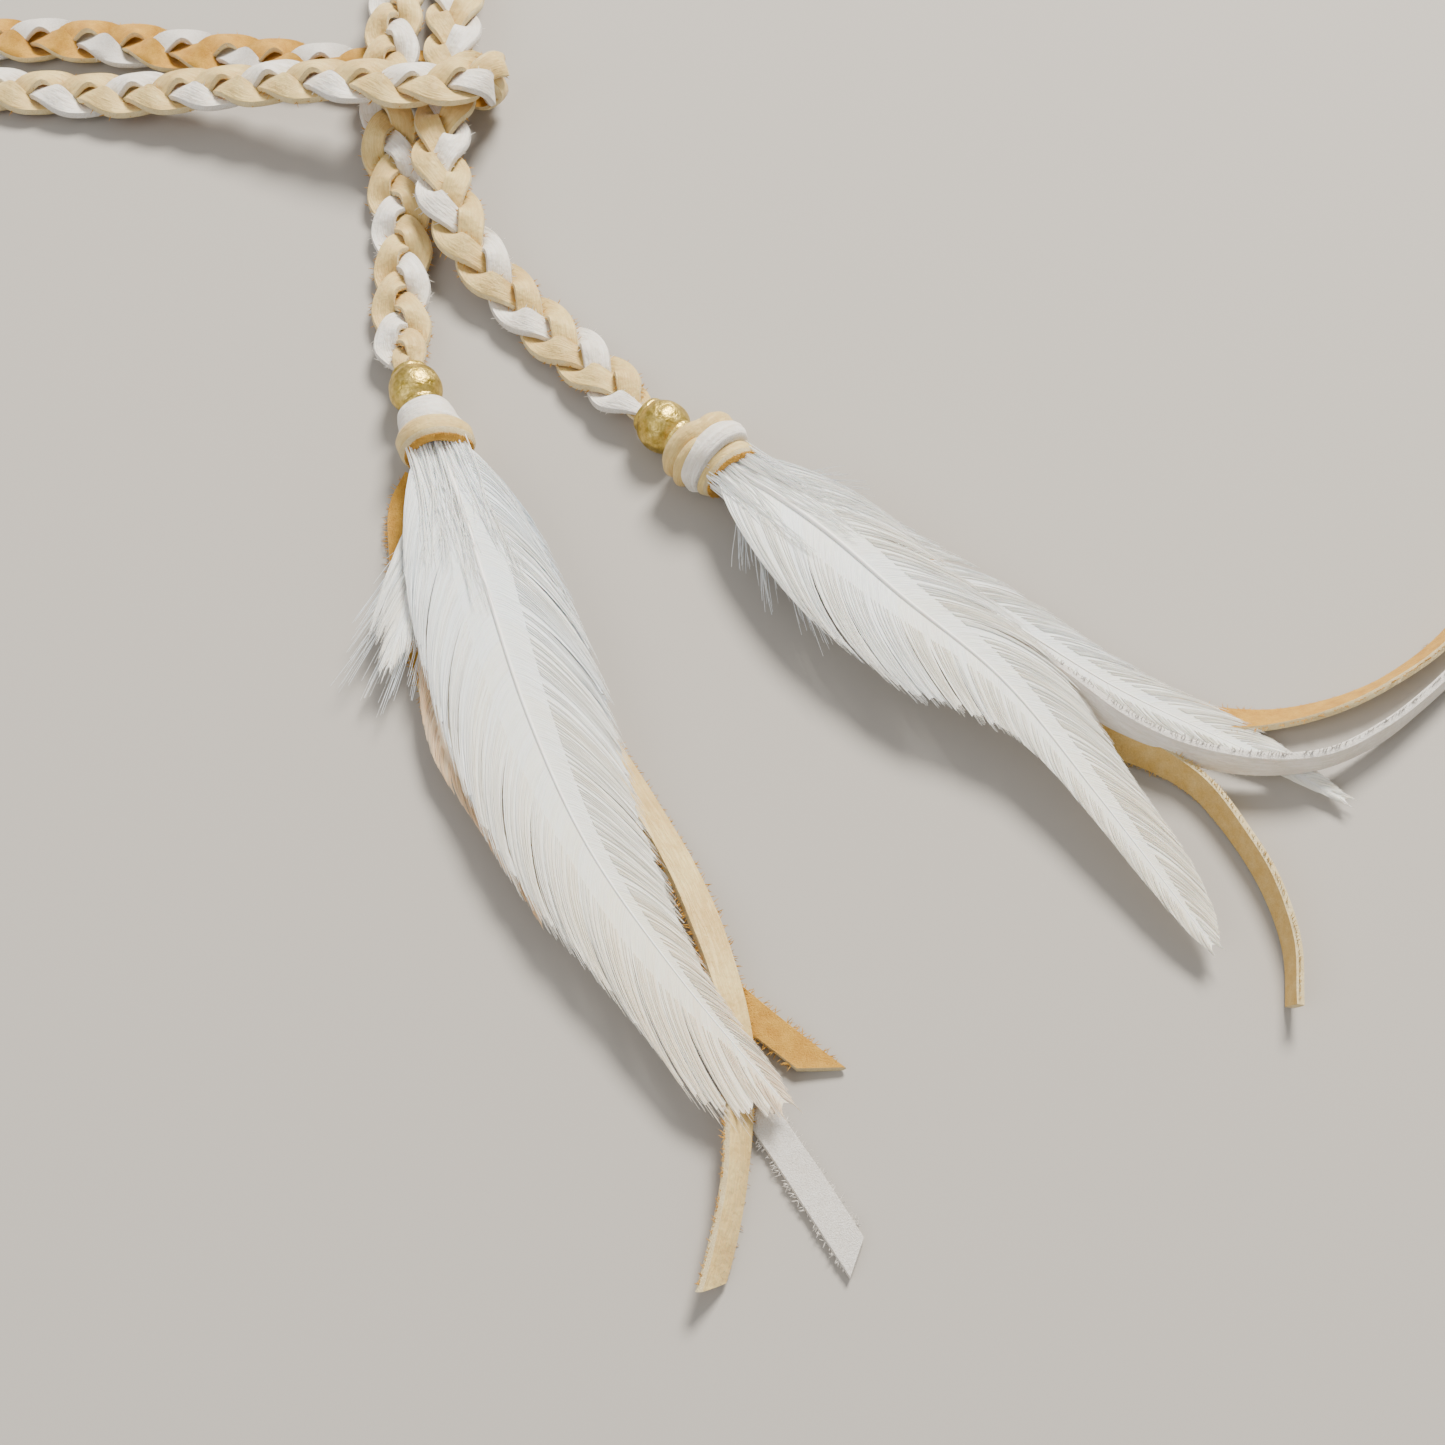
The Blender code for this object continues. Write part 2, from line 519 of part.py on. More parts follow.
def make_right_tassel():
    bead, axis = RIGHT_BEAD, RIGHT_AXIS
    make_core("right_knot_core", bead, axis, RIGHT_CORE_END)
    make_turn("right_knot_tan_turn", bead, axis, 5.7, 2.9, 4.9, LEATHER_TAN)
    make_turn("right_knot_white_turn", bead, axis, 8.9, 3.2, 5.5, LEATHER_WHITE)
    make_turn("right_knot_end_turn", bead, axis, 12.4, 2.7, 5.3, LEATHER_TAN)
    base = bead + axis * (RIGHT_CORE_END + GAP)
    start = Vector((base.x, base.y, 0.0))
    make_feather("right_front_feather", [
        start + Vector((0.0, 0.0, 7.6)), (15.7, 29.9, 8.6), (27.3, 17.6, 8.6), (42.2, 2.8, 8.0),
        (55.5, -16.4, 6.2), (70.5, -39.5, 3.6)], 12.5, 9.5, bead)
    make_feather("right_downy_feather", [
        start + Vector((0.0, 0.0, 6.8)), (9.5, 34.5, 7.3), (15.5, 25.0, 7.4)], 8.0, 8.0, bead)
    make_feather("right_upper_feather", [
        start + Vector((0.0, 0.0, 4.75)), (20.2, 31.6, 4.6), (43.2, 16.8, 3.6), (60.6, 4.3, 2.7),
        (83.4, -8.4, 1.9), (93.4, -14.6, 1.7)], 6.5, 7.5, bead)
    make_lace("right_fringe_tan", [
        base + axis * 0.3 + Vector((0.0, 0.0, -2.3)), (14.0, 32.5, 1.1), (27.0, 20.0, FLOOR_LACE),
        (41.0, 7.5, 0.8), (51.0, 0.0, 1.3), (59.5, -4.5, 2.1), (66.0, -8.0, 2.5),
        (71.6, -12.6, 2.55), (76.6, -20.7, 2.55), (80.1, -28.9, 2.55), (81.9, -38.5, 2.55),
        (81.1, -48.6, 2.55)], (90, 90, 90, 90, 86, 60, 42, 35, 35, 35), LEATHER_TAN)
    make_lace("right_fringe_white", [
        base + axis + Vector((0.0, 0.0, 1.25)), (15.5, 35.0, 5.9), (27.0, 26.0, 5.7),
        (40.0, 14.5, 5.4), (52.3, 3.5, 5.3), (60.1, -3.0, 5.2), (68.7, -7.6, 5.0),
        (79.0, -9.9, 4.8), (89.5, -9.1, 4.7), (99.3, -3.9, 3.6), (107.0, 2.4, 2.9),
        (113.5, 8.6, 2.8), (122.0, 18.0, 2.6), (129.0, 29.5, 2.6)],
        (90, 90, 75, 60, 40, 25, 10), LEATHER_WHITE)
    make_lace("right_fringe_ochre", [
        base + axis + Vector((0.0, 0.0, -0.8)), (17.5, 37.0, 2.0), (32.0, 28.0, 0.9),
        (48.0, 14.5, FLOOR_LACE), (61.0, 5.4, FLOOR_LACE), (72.6, 0.6, 0.8),
        (81.6, -0.4, 1.15), (90.9, 1.0, 1.8), (100.5, 4.9, 2.3),
        (111.6, 13.0, 2.4), (119.5, 23.0, 2.4), (124.5, 34.5, 2.4)],
        (90, 90, 90, 90, 90, 74, 46, 40, 40), LEATHER_OCHRE)


def main():
    clear_scene()
    make_braid(braid_route())
    make_bead("left_bead", LEFT_BEAD, LEFT_AXIS)
    make_bead("right_bead", RIGHT_BEAD, RIGHT_AXIS)
    make_left_tassel()
    make_right_tassel()


main()
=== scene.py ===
"""The braided leather headband as it looks: laces, brass beads, wrapped knots, feathers and fringes.

Lengths are in millimetres in the same layout as the CAD design, and become metres in the row frame
when a mesh is made. The braid's route and the fringe laces' routes repeat the design's own points.
"""
import json
import math

import bpy
import numpy as np
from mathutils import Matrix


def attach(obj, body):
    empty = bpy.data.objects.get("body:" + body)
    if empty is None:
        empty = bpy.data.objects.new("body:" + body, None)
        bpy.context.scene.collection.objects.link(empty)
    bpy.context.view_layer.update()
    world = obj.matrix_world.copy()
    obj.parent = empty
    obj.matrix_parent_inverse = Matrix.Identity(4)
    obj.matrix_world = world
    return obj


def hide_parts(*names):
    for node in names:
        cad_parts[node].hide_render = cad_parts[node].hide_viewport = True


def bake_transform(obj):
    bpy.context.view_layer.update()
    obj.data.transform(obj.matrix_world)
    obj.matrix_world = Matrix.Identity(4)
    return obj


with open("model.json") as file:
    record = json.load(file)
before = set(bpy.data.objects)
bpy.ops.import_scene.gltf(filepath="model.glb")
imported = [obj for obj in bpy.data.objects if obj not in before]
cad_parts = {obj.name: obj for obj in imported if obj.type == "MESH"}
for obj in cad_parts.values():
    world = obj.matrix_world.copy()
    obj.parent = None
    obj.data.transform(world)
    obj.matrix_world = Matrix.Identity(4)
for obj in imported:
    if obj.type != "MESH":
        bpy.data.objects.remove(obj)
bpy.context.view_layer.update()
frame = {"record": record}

MM = 0.001
JOINT_AT = {joint["name"]: np.array(joint["pos_m"]) / MM
            for joint in frame["record"]["behaviour"]["joints"]}

# The design's own coordinates, and the offset to the row frame
LEFT_BEAD = np.array((-50.4, 60.4, 4.5))
RIGHT_BEAD = np.array((-9.6, 53.0, 4.5))
ORIGIN = LEFT_BEAD - JOINT_AT["left_bead_spin"]
LEFT_AXIS = np.array((0.34, -0.94, 0.0)) / math.hypot(0.34, 0.94)
RIGHT_AXIS = np.array((0.74, -0.67, 0.0)) / math.hypot(0.74, 0.67)
UP = np.array((0.0, 0.0, 1.0))

LACE_WIDTH = 4.8
LACE_THICKNESS = 1.25
BRAID_PITCH = 26.0
BRAID_PHASE = -0.32
RUN_SPACING = 10.8
RING_RADIUS = 91.0
RING_CENTRE = np.array((-145.0, 228.0, 0.0))
FLOOR_RUN = 2.45
MIDDLE_RUN = 7.65
TOP_RUN = 12.95
TURN_RADIUS = (TOP_RUN - FLOOR_RUN) / 2
LEFT_RUN_X = -59.4
RIGHT_RUN_X = LEFT_RUN_X + RUN_SPACING
TURN_CENTRE_X = RIGHT_RUN_X + 3.3
TURN_START_X = TURN_CENTRE_X - 2.2
TURN_START_Y = 118.0
FLOOR_LACE = 0.65
LEFT_CORE_END = 14.6
RIGHT_CORE_END = 15.4
CORE_GAP = 0.3
KNOT_RISE = 0.6


# ---------------------------------------------------------------- camera, floor and light

def add_camera():
    """The view from about 60 degrees above the floor, from the tassels' side."""
    height = math.radians(60.0)
    distance = 356.0
    look_at = -ORIGIN
    data = bpy.data.cameras.new("camera")
    data.lens = 58.0
    data.sensor_width = 36.0
    data.clip_start = 0.01
    data.clip_end = 20.0
    camera = bpy.data.objects.new("camera", data)
    camera.location = ((look_at + distance * np.array((0.0, -math.cos(height), math.sin(height))))
                       * MM)
    camera.rotation_euler = (math.pi / 2 - height, 0.0, 0.0)
    bpy.context.scene.collection.objects.link(camera)
    bpy.context.scene.camera = camera


def add_area_light(name, place, target, size, power, colour):
    data = bpy.data.lights.new(name, "AREA")
    data.shape = "DISK"
    data.size = size
    data.energy = power
    data.color = colour
    light = bpy.data.objects.new(name, data)
    light.location = place
    aim = np.array(target) - np.array(place)
    flat = math.hypot(aim[0], aim[1])
    light.rotation_euler = (math.atan2(flat, -aim[2]), 0.0, math.atan2(aim[1], aim[0]) - math.pi / 2)
    bpy.context.scene.collection.objects.link(light)


def add_stage():
    mesh = bpy.data.meshes.new("floor")
    reach = 6.0
    mesh.from_pydata([(-reach, -reach, 0.0), (reach, -reach, 0.0), (reach, reach, 0.0),
                      (-reach, reach, 0.0)], [], [(0, 1, 2, 3)])
    floor = bpy.data.objects.new("floor", mesh)
    floor.location = (0.0, 0.0, -0.0001)
    paper = bpy.data.materials.new("pale floor")
    paper.use_nodes = True
    shader = paper.node_tree.nodes["Principled BSDF"]
    shader.inputs["Base Color"].default_value = (0.42, 0.395, 0.36, 1.0)
    shader.inputs["Roughness"].default_value = 0.9
    mesh.materials.append(paper)
    bpy.context.scene.collection.objects.link(floor)
    world = bpy.data.worlds.new("soft studio")
    world.use_nodes = True
    sky = world.node_tree.nodes["Background"]
    sky.inputs["Color"].default_value = (1.0, 0.98, 0.95, 1.0)
    sky.inputs["Strength"].default_value = 0.55
    bpy.context.scene.world = world
    add_area_light("key", place=(0.45, 0.75, 1.0), target=(0.05, 0.0, 0.0), size=0.5, power=46.0,
                   colour=(1.0, 0.95, 0.87))
    add_area_light("fill", place=(-0.9, -0.8, 1.1), target=(0.0, 0.0, 0.0), size=1.2, power=9.0,
                   colour=(0.97, 0.98, 1.0))


# ---------------------------------------------------------------- curves

def spline(knots, step=0.5):
    """Dense points on a centripetal Catmull-Rom curve through the knots."""
    knots = np.array(knots, float)
    padded = np.vstack((knots[0] * 2 - knots[1], knots, knots[-1] * 2 - knots[-2]))
    dense = []
    for index in range(1, len(padded) - 2):
        p0, p1, p2, p3 = padded[index - 1:index + 3]
        t1 = math.sqrt(np.linalg.norm(p1 - p0))
        t2 = t1 + math.sqrt(np.linalg.norm(p2 - p1))
        t3 = t2 + math.sqrt(np.linalg.norm(p3 - p2))
        count = max(2, round(np.linalg.norm(p2 - p1) / step))
        t = (t1 + (t2 - t1) * np.arange(count) / count)[:, None]
        a1 = p0 * ((t1 - t) / t1) + p1 * (t / t1)
        a2 = p1 * ((t2 - t) / (t2 - t1)) + p2 * ((t - t1) / (t2 - t1))
        a3 = p2 * ((t3 - t) / (t3 - t2)) + p3 * ((t - t2) / (t3 - t2))
        b1 = a1 * ((t2 - t) / t2) + a2 * (t / t2)
        b2 = a2 * ((t3 - t) / (t3 - t1)) + a3 * ((t - t1) / (t3 - t1))
        dense.append(b1 * ((t2 - t) / (t2 - t1)) + b2 * ((t - t1) / (t2 - t1)))
    dense.append(knots[-1:])
    return np.vstack(dense)


def unit(vectors):
    return vectors / np.linalg.norm(vectors, axis=-1, keepdims=True)


def smooth_step(value):
    value = np.clip(value, 0.0, 1.0)
    return value * value * (3.0 - 2.0 * value)


def level_side(point, tangent):
    """The level direction across a line; along Y where the slip loop turns over."""
    if point[0] > TURN_START_X and point[1] > TURN_START_Y:
        return np.array((0.0, 1.0, 0.0))
    return np.cross(UP, tangent)


class Route:
    """A smooth line with its arc length and a side direction that stays level where it can."""

    def __init__(self, knots, first_side, levelling=0.25):
        self.points = spline(knots)
        gaps = np.linalg.norm(np.diff(self.points, axis=0), axis=1)
        self.arc = np.concatenate(([0.0], np.cumsum(gaps)))
        self.length = self.arc[-1]
        self.tangents = unit(np.gradient(self.points, axis=0))
        self.half_twist = None
        side = np.array(first_side, float)
        sides = []
        for point, tangent in zip(self.points, self.tangents):
            side = side - tangent * side.dot(tangent)
            side = side / np.linalg.norm(side)
            level = level_side(point, tangent)
            if level.dot(side) < 0.0:
                level = -level
            side = side + level * levelling * np.linalg.norm(level) ** 4
            side = side / np.linalg.norm(side)
            sides.append(side)
        self.sides = np.array(sides)

    def where(self, arc):
        """Points, sides and faces at arc lengths; past an end the line runs on straight."""
        arc = np.asarray(arc, float)
        inside = np.clip(arc, 0.0, self.length)
        pick = lambda table: np.stack([np.interp(inside, self.arc, table[:, axis])
                                       for axis in range(3)], axis=-1)
        tangent = unit(pick(self.tangents))
        point = pick(self.points) + tangent * (arc - inside)[..., None]
        side = pick(self.sides)
        side = unit(side - tangent * np.sum(side * tangent, axis=-1, keepdims=True))
        face = np.cross(tangent, side)
        if self.half_twist is not None:
            start, end = self.half_twist
            roll = math.pi * smooth_step((arc - start) / (end - start))[..., None]
            side, face = (side * np.cos(roll) + face * np.sin(roll),
                          face * np.cos(roll) - side * np.sin(roll))
        return point, side, face

    def nearest_arc(self, target, low, high):
        gaps = np.linalg.norm(self.points[:, :2] - np.array(target)[:2], axis=1)
        gaps[(self.arc < low) | (self.arc > high)] = np.inf
        return self.arc[int(np.argmin(gaps))]


def wander(arc, seed, length, octaves=2):
    """Smooth deterministic noise between about -1 and 1 along a line."""
    draw = np.random.default_rng(seed)
    total = np.zeros_like(np.asarray(arc, float))
    for octave in range(octaves):
        for _ in range(3):
            wave = length / (2 ** octave) * draw.uniform(0.7, 1.5)
            total = total + np.sin(2 * math.pi * arc / wave + draw.uniform(0, 7)) / (3 + 3 * octave)
    return total


# ---------------------------------------------------------------- materials

class Nodes:
    """Short names for the shader nodes that the materials share."""

    def __init__(self, name):
        self.material = bpy.data.materials.new(name)
        self.material.use_nodes = True
        self.tree = self.material.node_tree
        self.shader = self.tree.nodes["Principled BSDF"]

    def feed(self, socket, value):
        """A link where the value is another node's output, otherwise a constant."""
        if isinstance(value, bpy.types.NodeSocket):
            self.tree.links.new(value, socket)
        else:
            socket.default_value = value

    def set(self, **values):
        """Values of the shader's sockets, with _ for a space in a socket's name."""
        for name, value in values.items():
            self.feed(self.shader.inputs[name.replace("_", " ")], value)
        return self

    def add(self, kind, inputs, **values):
        node = self.tree.nodes.new(kind)
        for key, value in values.items():
            setattr(node, key, value)
        for name, value in inputs.items():
            self.feed(node.inputs[name], value)
        return node

    def scaled(self, vector, scale):
        return self.add("ShaderNodeMapping", {"Scale": scale, "Vector": vector}).outputs["Vector"]

    def place(self):
        """Object position in millimetres."""
        return self.scaled(self.add("ShaderNodeTexCoord", {}).outputs["Object"], (1.0 / MM,) * 3)

    def attribute(self, name):
        """A per-vertex vector; lace holds along, across and through a lace, in millimetres."""
        return self.add("ShaderNodeAttribute", {}, attribute_name=name).outputs["Vector"]

    def noise(self, vector, scale, detail=3.0, roughness=0.55, distortion=0.0):
        return self.add("ShaderNodeTexNoise", {
            "Vector": vector, "Scale": scale, "Detail": detail, "Roughness": roughness,
            "Distortion": distortion}).outputs["Fac"]

    def ramp(self, factor, stops):
        """A colour ramp whose stops are (position, colour or grey level)."""
        node = self.add("ShaderNodeValToRGB", {"Fac": factor})
        elements = node.color_ramp.elements
        while len(elements) < len(stops):
            elements.new(0.5)
        for element, (position, colour) in zip(elements, stops):
            element.position = position
            element.color = (*colour, 1.0) if isinstance(colour, tuple) else (*(colour,) * 3, 1.0)
        return node.outputs["Color"]

    def multiply(self, factor, first, second):
        return self.add("ShaderNodeMix", {0: factor, 6: first, 7: second}, data_type="RGBA",
                        blend_type="MULTIPLY").outputs[2]

    def bump(self, layers):
        """Bump layers given as (height, strength, distance in millimetres)."""
        inputs = {}
        for height, strength, distance in layers:
            inputs.update(Height=height, Strength=strength, Distance=distance * MM)
            inputs["Normal"] = self.add("ShaderNodeBump", inputs).outputs["Normal"]
        self.set(Normal=inputs["Normal"])


def grain_leather(name, light, dark, roughness):
    """Smooth side of deerskin: soft mottling, fine pores and creases along the lace, with painted
    shade in the creases.
    """
    made = Nodes(name)
    place = made.place()
    colour = made.ramp(made.noise(place, 0.16, 4.0, 0.6), [(0.35, dark), (0.62, light)])
    creases = made.noise(made.scaled(made.attribute("lace"), (0.16, 1.9, 1.0)), 1.0, 3.0, 0.6, 0.6)
    lines = made.ramp(creases, [(0.40, 0.0), (0.49, 1.0), (0.58, 0.0)])
    # painted shade: the colour is darkened along the pressed creases, where shade falls
    shade = made.ramp(creases, [(0.42, 1.0), (0.49, (0.88, 0.85, 0.80)), (0.56, 1.0)])
    pores = made.noise(place, 6.5, 3.0, 0.65)
    soft = made.noise(place, 0.8, 2.0, 0.5)
    made.bump([(soft, 0.45, 0.6), (lines, 0.45, -0.14), (pores, 0.45, 0.10)])
    return made.set(Base_Color=made.multiply(0.8, colour, shade),
                    Roughness=made.ramp(pores, [(0.3, roughness - 0.08), (0.7, roughness + 0.10)]),
                    Sheen_Weight=0.15, Sheen_Roughness=0.5, Subsurface_Weight=0.06,
                    Subsurface_Scale=0.001, Specular_IOR_Level=0.35).material


def suede_leather(name, light, dark):
    """Flesh side and cut edges: a short, matted nap with painted shade in its low spots."""
    made = Nodes(name)
    place = made.place()
    patches = made.noise(place, 0.5, 4.0, 0.65)
    nap = made.noise(place, 4.5, 4.0, 0.75, 0.4)
    colour = made.ramp(patches, [(0.32, dark), (0.68, light)])
    # painted shade: the colour is darkened in the low spots of the nap, where shade falls
    shade = made.ramp(nap, [(0.34, (0.74, 0.68, 0.60)), (0.60, 1.0)])
    made.bump([(patches, 0.5, 0.5), (nap, 0.9, 0.4)])
    return made.set(Base_Color=made.multiply(0.75, colour, shade), Roughness=0.96,
                    Sheen_Weight=0.12, Sheen_Roughness=0.6, Specular_IOR_Level=0.15).material


def brass():
    made = Nodes("hammered brass")
    place = made.place()
    tarnish = made.noise(place, 0.7, 4.0, 0.6)
    scuffs = made.noise(place, 5.0, 3.0, 0.6)
    made.bump([(made.noise(place, 1.3, 2.0, 0.5), 0.6, 0.35), (scuffs, 0.4, 0.08)])
    return made.set(Base_Color=made.ramp(tarnish, [(0.35, (0.40, 0.28, 0.05)),
                                                   (0.62, (0.74, 0.56, 0.17))]),
                    Roughness=made.ramp(scuffs, [(0.3, 0.30), (0.7, 0.52)]), Metallic=1.0).material


def barb_material():
    """Feather barbs: fine silky lines along each barb with painted shade in their grooves, tinted by
    the third value of vane.
    """
    made = Nodes("feather barbs")
    where = made.attribute("vane")
    tone = made.add("ShaderNodeSeparateXYZ", {"Vector": where}).outputs["Z"]
    # the bluish low end of this ramp is painted shade, the cool colour of a white feather in shadow;
    # white, cream and peach follow
    colour = made.ramp(tone, [(0.0, (0.78, 0.87, 0.96)), (0.3, (0.93, 0.94, 0.93)),
                              (0.6, (0.96, 0.89, 0.75)), (1.0, (0.90, 0.60, 0.33))])
    lines = made.noise(made.scaled(where, (3.2, 0.10, 0.0)), 1.0, 3.0, 0.65)
    # painted shade: the colour is darkened in the grooves between the barbs' fine lines
    barb_groove_shade = made.ramp(lines, [(0.30, (0.78, 0.77, 0.76)), (0.50, 1.0)])
    made.bump([(lines, 0.55, 0.30)])
    return made.set(Base_Color=made.multiply(0.6, colour, barb_groove_shade), Roughness=0.42,
                    Sheen_Weight=0.3, Sheen_Roughness=0.4, Subsurface_Weight=0.12,
                    Subsurface_Scale=0.001, Specular_IOR_Level=0.45).material


def quill_material():
    made = Nodes("feather quill")
    place = made.place()
    made.bump([(made.noise(place, 3.0, 2.0), 0.1, 0.05)])
    return made.set(Base_Color=made.ramp(made.noise(place, 0.25, 2.0), [
        (0.35, (0.94, 0.91, 0.84)), (0.65, (0.98, 0.97, 0.94))]),
        Roughness=0.4, Specular_IOR_Level=0.5, Subsurface_Weight=0.1,
        Subsurface_Scale=0.0005).material


WHITE_GRAIN = grain_leather("white leather grain", (0.93, 0.89, 0.82), (0.86, 0.80, 0.70), 0.5)
WHITE_FLESH = suede_leather("white leather flesh side", (0.97, 0.95, 0.91), (0.93, 0.89, 0.83))
WHITE_EDGE = suede_leather("white leather cut edge", (0.97, 0.95, 0.91), (0.93, 0.89, 0.83))
TAN_GRAIN = grain_leather("tan leather grain", (0.81, 0.61, 0.25), (0.68, 0.465, 0.165), 0.45)
TAN_FLESH = suede_leather("tan leather flesh side", (0.82, 0.46, 0.07), (0.64, 0.31, 0.035))
# painted light: a lighter copy of the tan flesh side, coloured as if sun falls on it
TAN_FLESH_PAINTED_LIGHT = suede_leather("tan leather flesh side painted light", (0.94, 0.66, 0.24), (0.82, 0.51, 0.13))
TAN_EDGE = suede_leather("tan leather cut edge", (0.95, 0.82, 0.50), (0.87, 0.68, 0.34))
BRASS = brass()
BARBS = barb_material()
QUILL = quill_material()
# leather for the right tan lace, whose flesh side is painted lighter as if sunlit
TAN_LEATHER_PAINTED_LIGHT = (TAN_GRAIN, TAN_EDGE, TAN_FLESH_PAINTED_LIGHT)
LEATHER = {"white_leather": (WHITE_GRAIN, WHITE_EDGE, WHITE_FLESH),
           "tan_leather": (TAN_GRAIN, TAN_EDGE, TAN_FLESH),
           "ochre_suede": (TAN_GRAIN, TAN_EDGE, TAN_FLESH)}
GRAIN, EDGE, FLESH = 0, 1, 2


# ---------------------------------------------------------------- meshes

class Shape:
    """Vertices, faces, material numbers and per-vertex values collected for one piece."""

    def __init__(self):
        self.points = []
        self.values = []
        self.faces = []
        self.finish = []
        self.count = 0

    def grid(self, rings, values, finish, close_ends=True, end_finish=EDGE):
        """A tube through rings of points; finish gives one material number per side."""
        rings = np.asarray(rings, float)
        rows, columns, _ = rings.shape
        first = self.count
        self.points.append(rings.reshape(-1, 3))
        self.values.append(np.asarray(values, float).reshape(rows * columns, -1))
        row, column = np.meshgrid(np.arange(rows - 1), np.arange(columns), indexing="ij")
        here = first + row * columns + column
        after = first + row * columns + (column + 1) % columns
        quads = np.stack((here, after, after + columns, here + columns), axis=-1)
        self.faces.extend(quads.reshape(-1, 4).tolist())
        self.finish.extend(np.broadcast_to(finish, (rows - 1, columns)).reshape(-1).tolist())
        if close_ends:
            last = first + (rows - 1) * columns
            self.faces.append(list(range(first, first + columns))[::-1])
            self.faces.append(list(range(last, last + columns)))
            self.finish.extend([end_finish, end_finish])
        self.count += rows * columns

    def loops(self, rings, values, finish):
        """A closed band: as grid, and the last ring joins the first."""
        rows, columns = np.asarray(rings).shape[:2]
        first = self.count
        self.grid(rings, values, finish, close_ends=False)
        last = first + (rows - 1) * columns
        for column in range(columns):
            after = (column + 1) % columns
            self.faces.append([last + column, last + after, first + after, first + column])
            self.finish.append(int(np.broadcast_to(finish, (columns,))[column]))

    def make(self, name, materials, attribute, smooth_angle=60.0):
        """A mesh object in the row frame, in metres."""
        points = (np.vstack(self.points) - ORIGIN) * MM
        mesh = bpy.data.meshes.new(name)
        mesh.from_pydata(points.tolist(), [], self.faces)
        for material in materials:
            mesh.materials.append(material)
        mesh.polygons.foreach_set("material_index", self.finish)
        values = np.vstack(self.values)
        if values.shape[1] == 3:
            layer = mesh.attributes.new(attribute, "FLOAT_VECTOR", "POINT")
            layer.data.foreach_set("vector", values.astype(np.float32).reshape(-1))
        else:
            layer = mesh.attributes.new(attribute, "FLOAT", "POINT")
            layer.data.foreach_set("value", values.astype(np.float32).reshape(-1))
        mesh.shade_smooth()
        mesh.set_sharp_from_angle(angle=math.radians(smooth_angle))
        made = bpy.data.objects.new(name, mesh)
        bpy.context.scene.collection.objects.link(made)
        return made


def lace_outline(width, thickness, crown=0.12, dip=0.06):
    """Section of a lace from its left edge: across, height and material number of each point.

    The top is the grain, gently crowned with a pressed line inside each cut edge.
    """
    half = width / 2
    top = thickness / 2
    across = [-half, -half * 0.9, -half * 0.8, -half * 0.4, 0.0, half * 0.4, half * 0.8,
              half * 0.9, half, half * 0.94, half * 0.4, -half * 0.4, -half * 0.94]
    height = [-top * 0.2, top * 0.95, top * (1.0 - dip), top * (1.0 + crown * 0.8),
              top * (1.0 + crown), top * (1.0 + crown * 0.8), top * (1.0 - dip), top * 0.95,
              -top * 0.2, -top * 0.9, -top, -top, -top * 0.9]
    finish = [EDGE, GRAIN, GRAIN, GRAIN, GRAIN, GRAIN, GRAIN, EDGE, EDGE, FLESH, FLESH, FLESH,
              EDGE]
    return np.array(across), np.array(height), np.array(finish)


EDGE_COLUMNS = ((0, 8), (8, 0))     # in lace_outline, each cut edge and the one across from it
FIBRE_SECTIONS = ((0.0, 0.10), (0.5, 0.07), (1.0, 0.02))     # share of its length, radius
FIBRE_CORNERS = (0.0, 2.094, 4.189)
FIBRE_FLOOR = 0.06


def add_fuzz(shape, roots, outward, tangent, amount, length, seed):
    """Short stray fibres along an edge."""
    draw = np.random.default_rng(seed)
    for _ in range(amount):
        index = draw.integers(2, len(roots) - 2)
        reach = length * draw.uniform(0.35, 1.0)
        lean = unit(outward[index] + tangent[index] * draw.uniform(-0.9, 0.9)
                    + UP * draw.uniform(-0.3, 0.6))
        bend = unit(lean + draw.uniform(-0.6, 0.6, 3))
        root = roots[index] - outward[index] * 0.1
        sideways = unit(np.cross(lean, UP) + 1e-6)
        lift = np.cross(sideways, lean)
        rings = []
        for part, radius in FIBRE_SECTIONS:
            centre = root + lean * reach * part + bend * reach * 0.35 * part ** 2
            centre[2] = max(centre[2], FIBRE_FLOOR)
            rings.append([centre + radius * (sideways * math.cos(turn) + lift * math.sin(turn))
                          for turn in FIBRE_CORNERS])
        shape.grid(rings, np.zeros((9, 3)), FLESH, end_finish=FLESH)


def fuzz_edges(shape, rings, tangent, amount, length, seed):
    """Stray fibres along both cut edges of a lace."""
    for column, far in EDGE_COLUMNS:
        outward = unit(rings[:, column] - rings[:, far])
        add_fuzz(shape, rings[:, column], outward, tangent, amount, length, seed + column)


def stacked(*values):
    """The values of each point, side by side on a new last axis."""
    return np.stack(np.broadcast_arrays(*values), axis=-1)


def keep_above(rings, height):
    rings[..., 2] = np.maximum(rings[..., 2], height)


def settle(piece, body, node=None):
    """Say what a piece replaces and the body it rides."""
    if node:
        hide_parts(node)
    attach(piece, body)


# ---------------------------------------------------------------- the braid

def ring_arc(radius, height_at):
    knots = []
    for step in range(13):
        turn = step / 12
        angle = -math.pi / 2 - 1.5 * math.pi * turn
        knots.append((RING_CENTRE[0] + radius * math.cos(angle),
                      RING_CENTRE[1] + radius * math.sin(angle), height_at(turn)))
    return knots


def twist_height(turn):
    rise = max(0.0, 1.0 - abs(turn - 0.5) / 0.2)
    return FLOOR_RUN + 3.4 * float(smooth_step(rise))


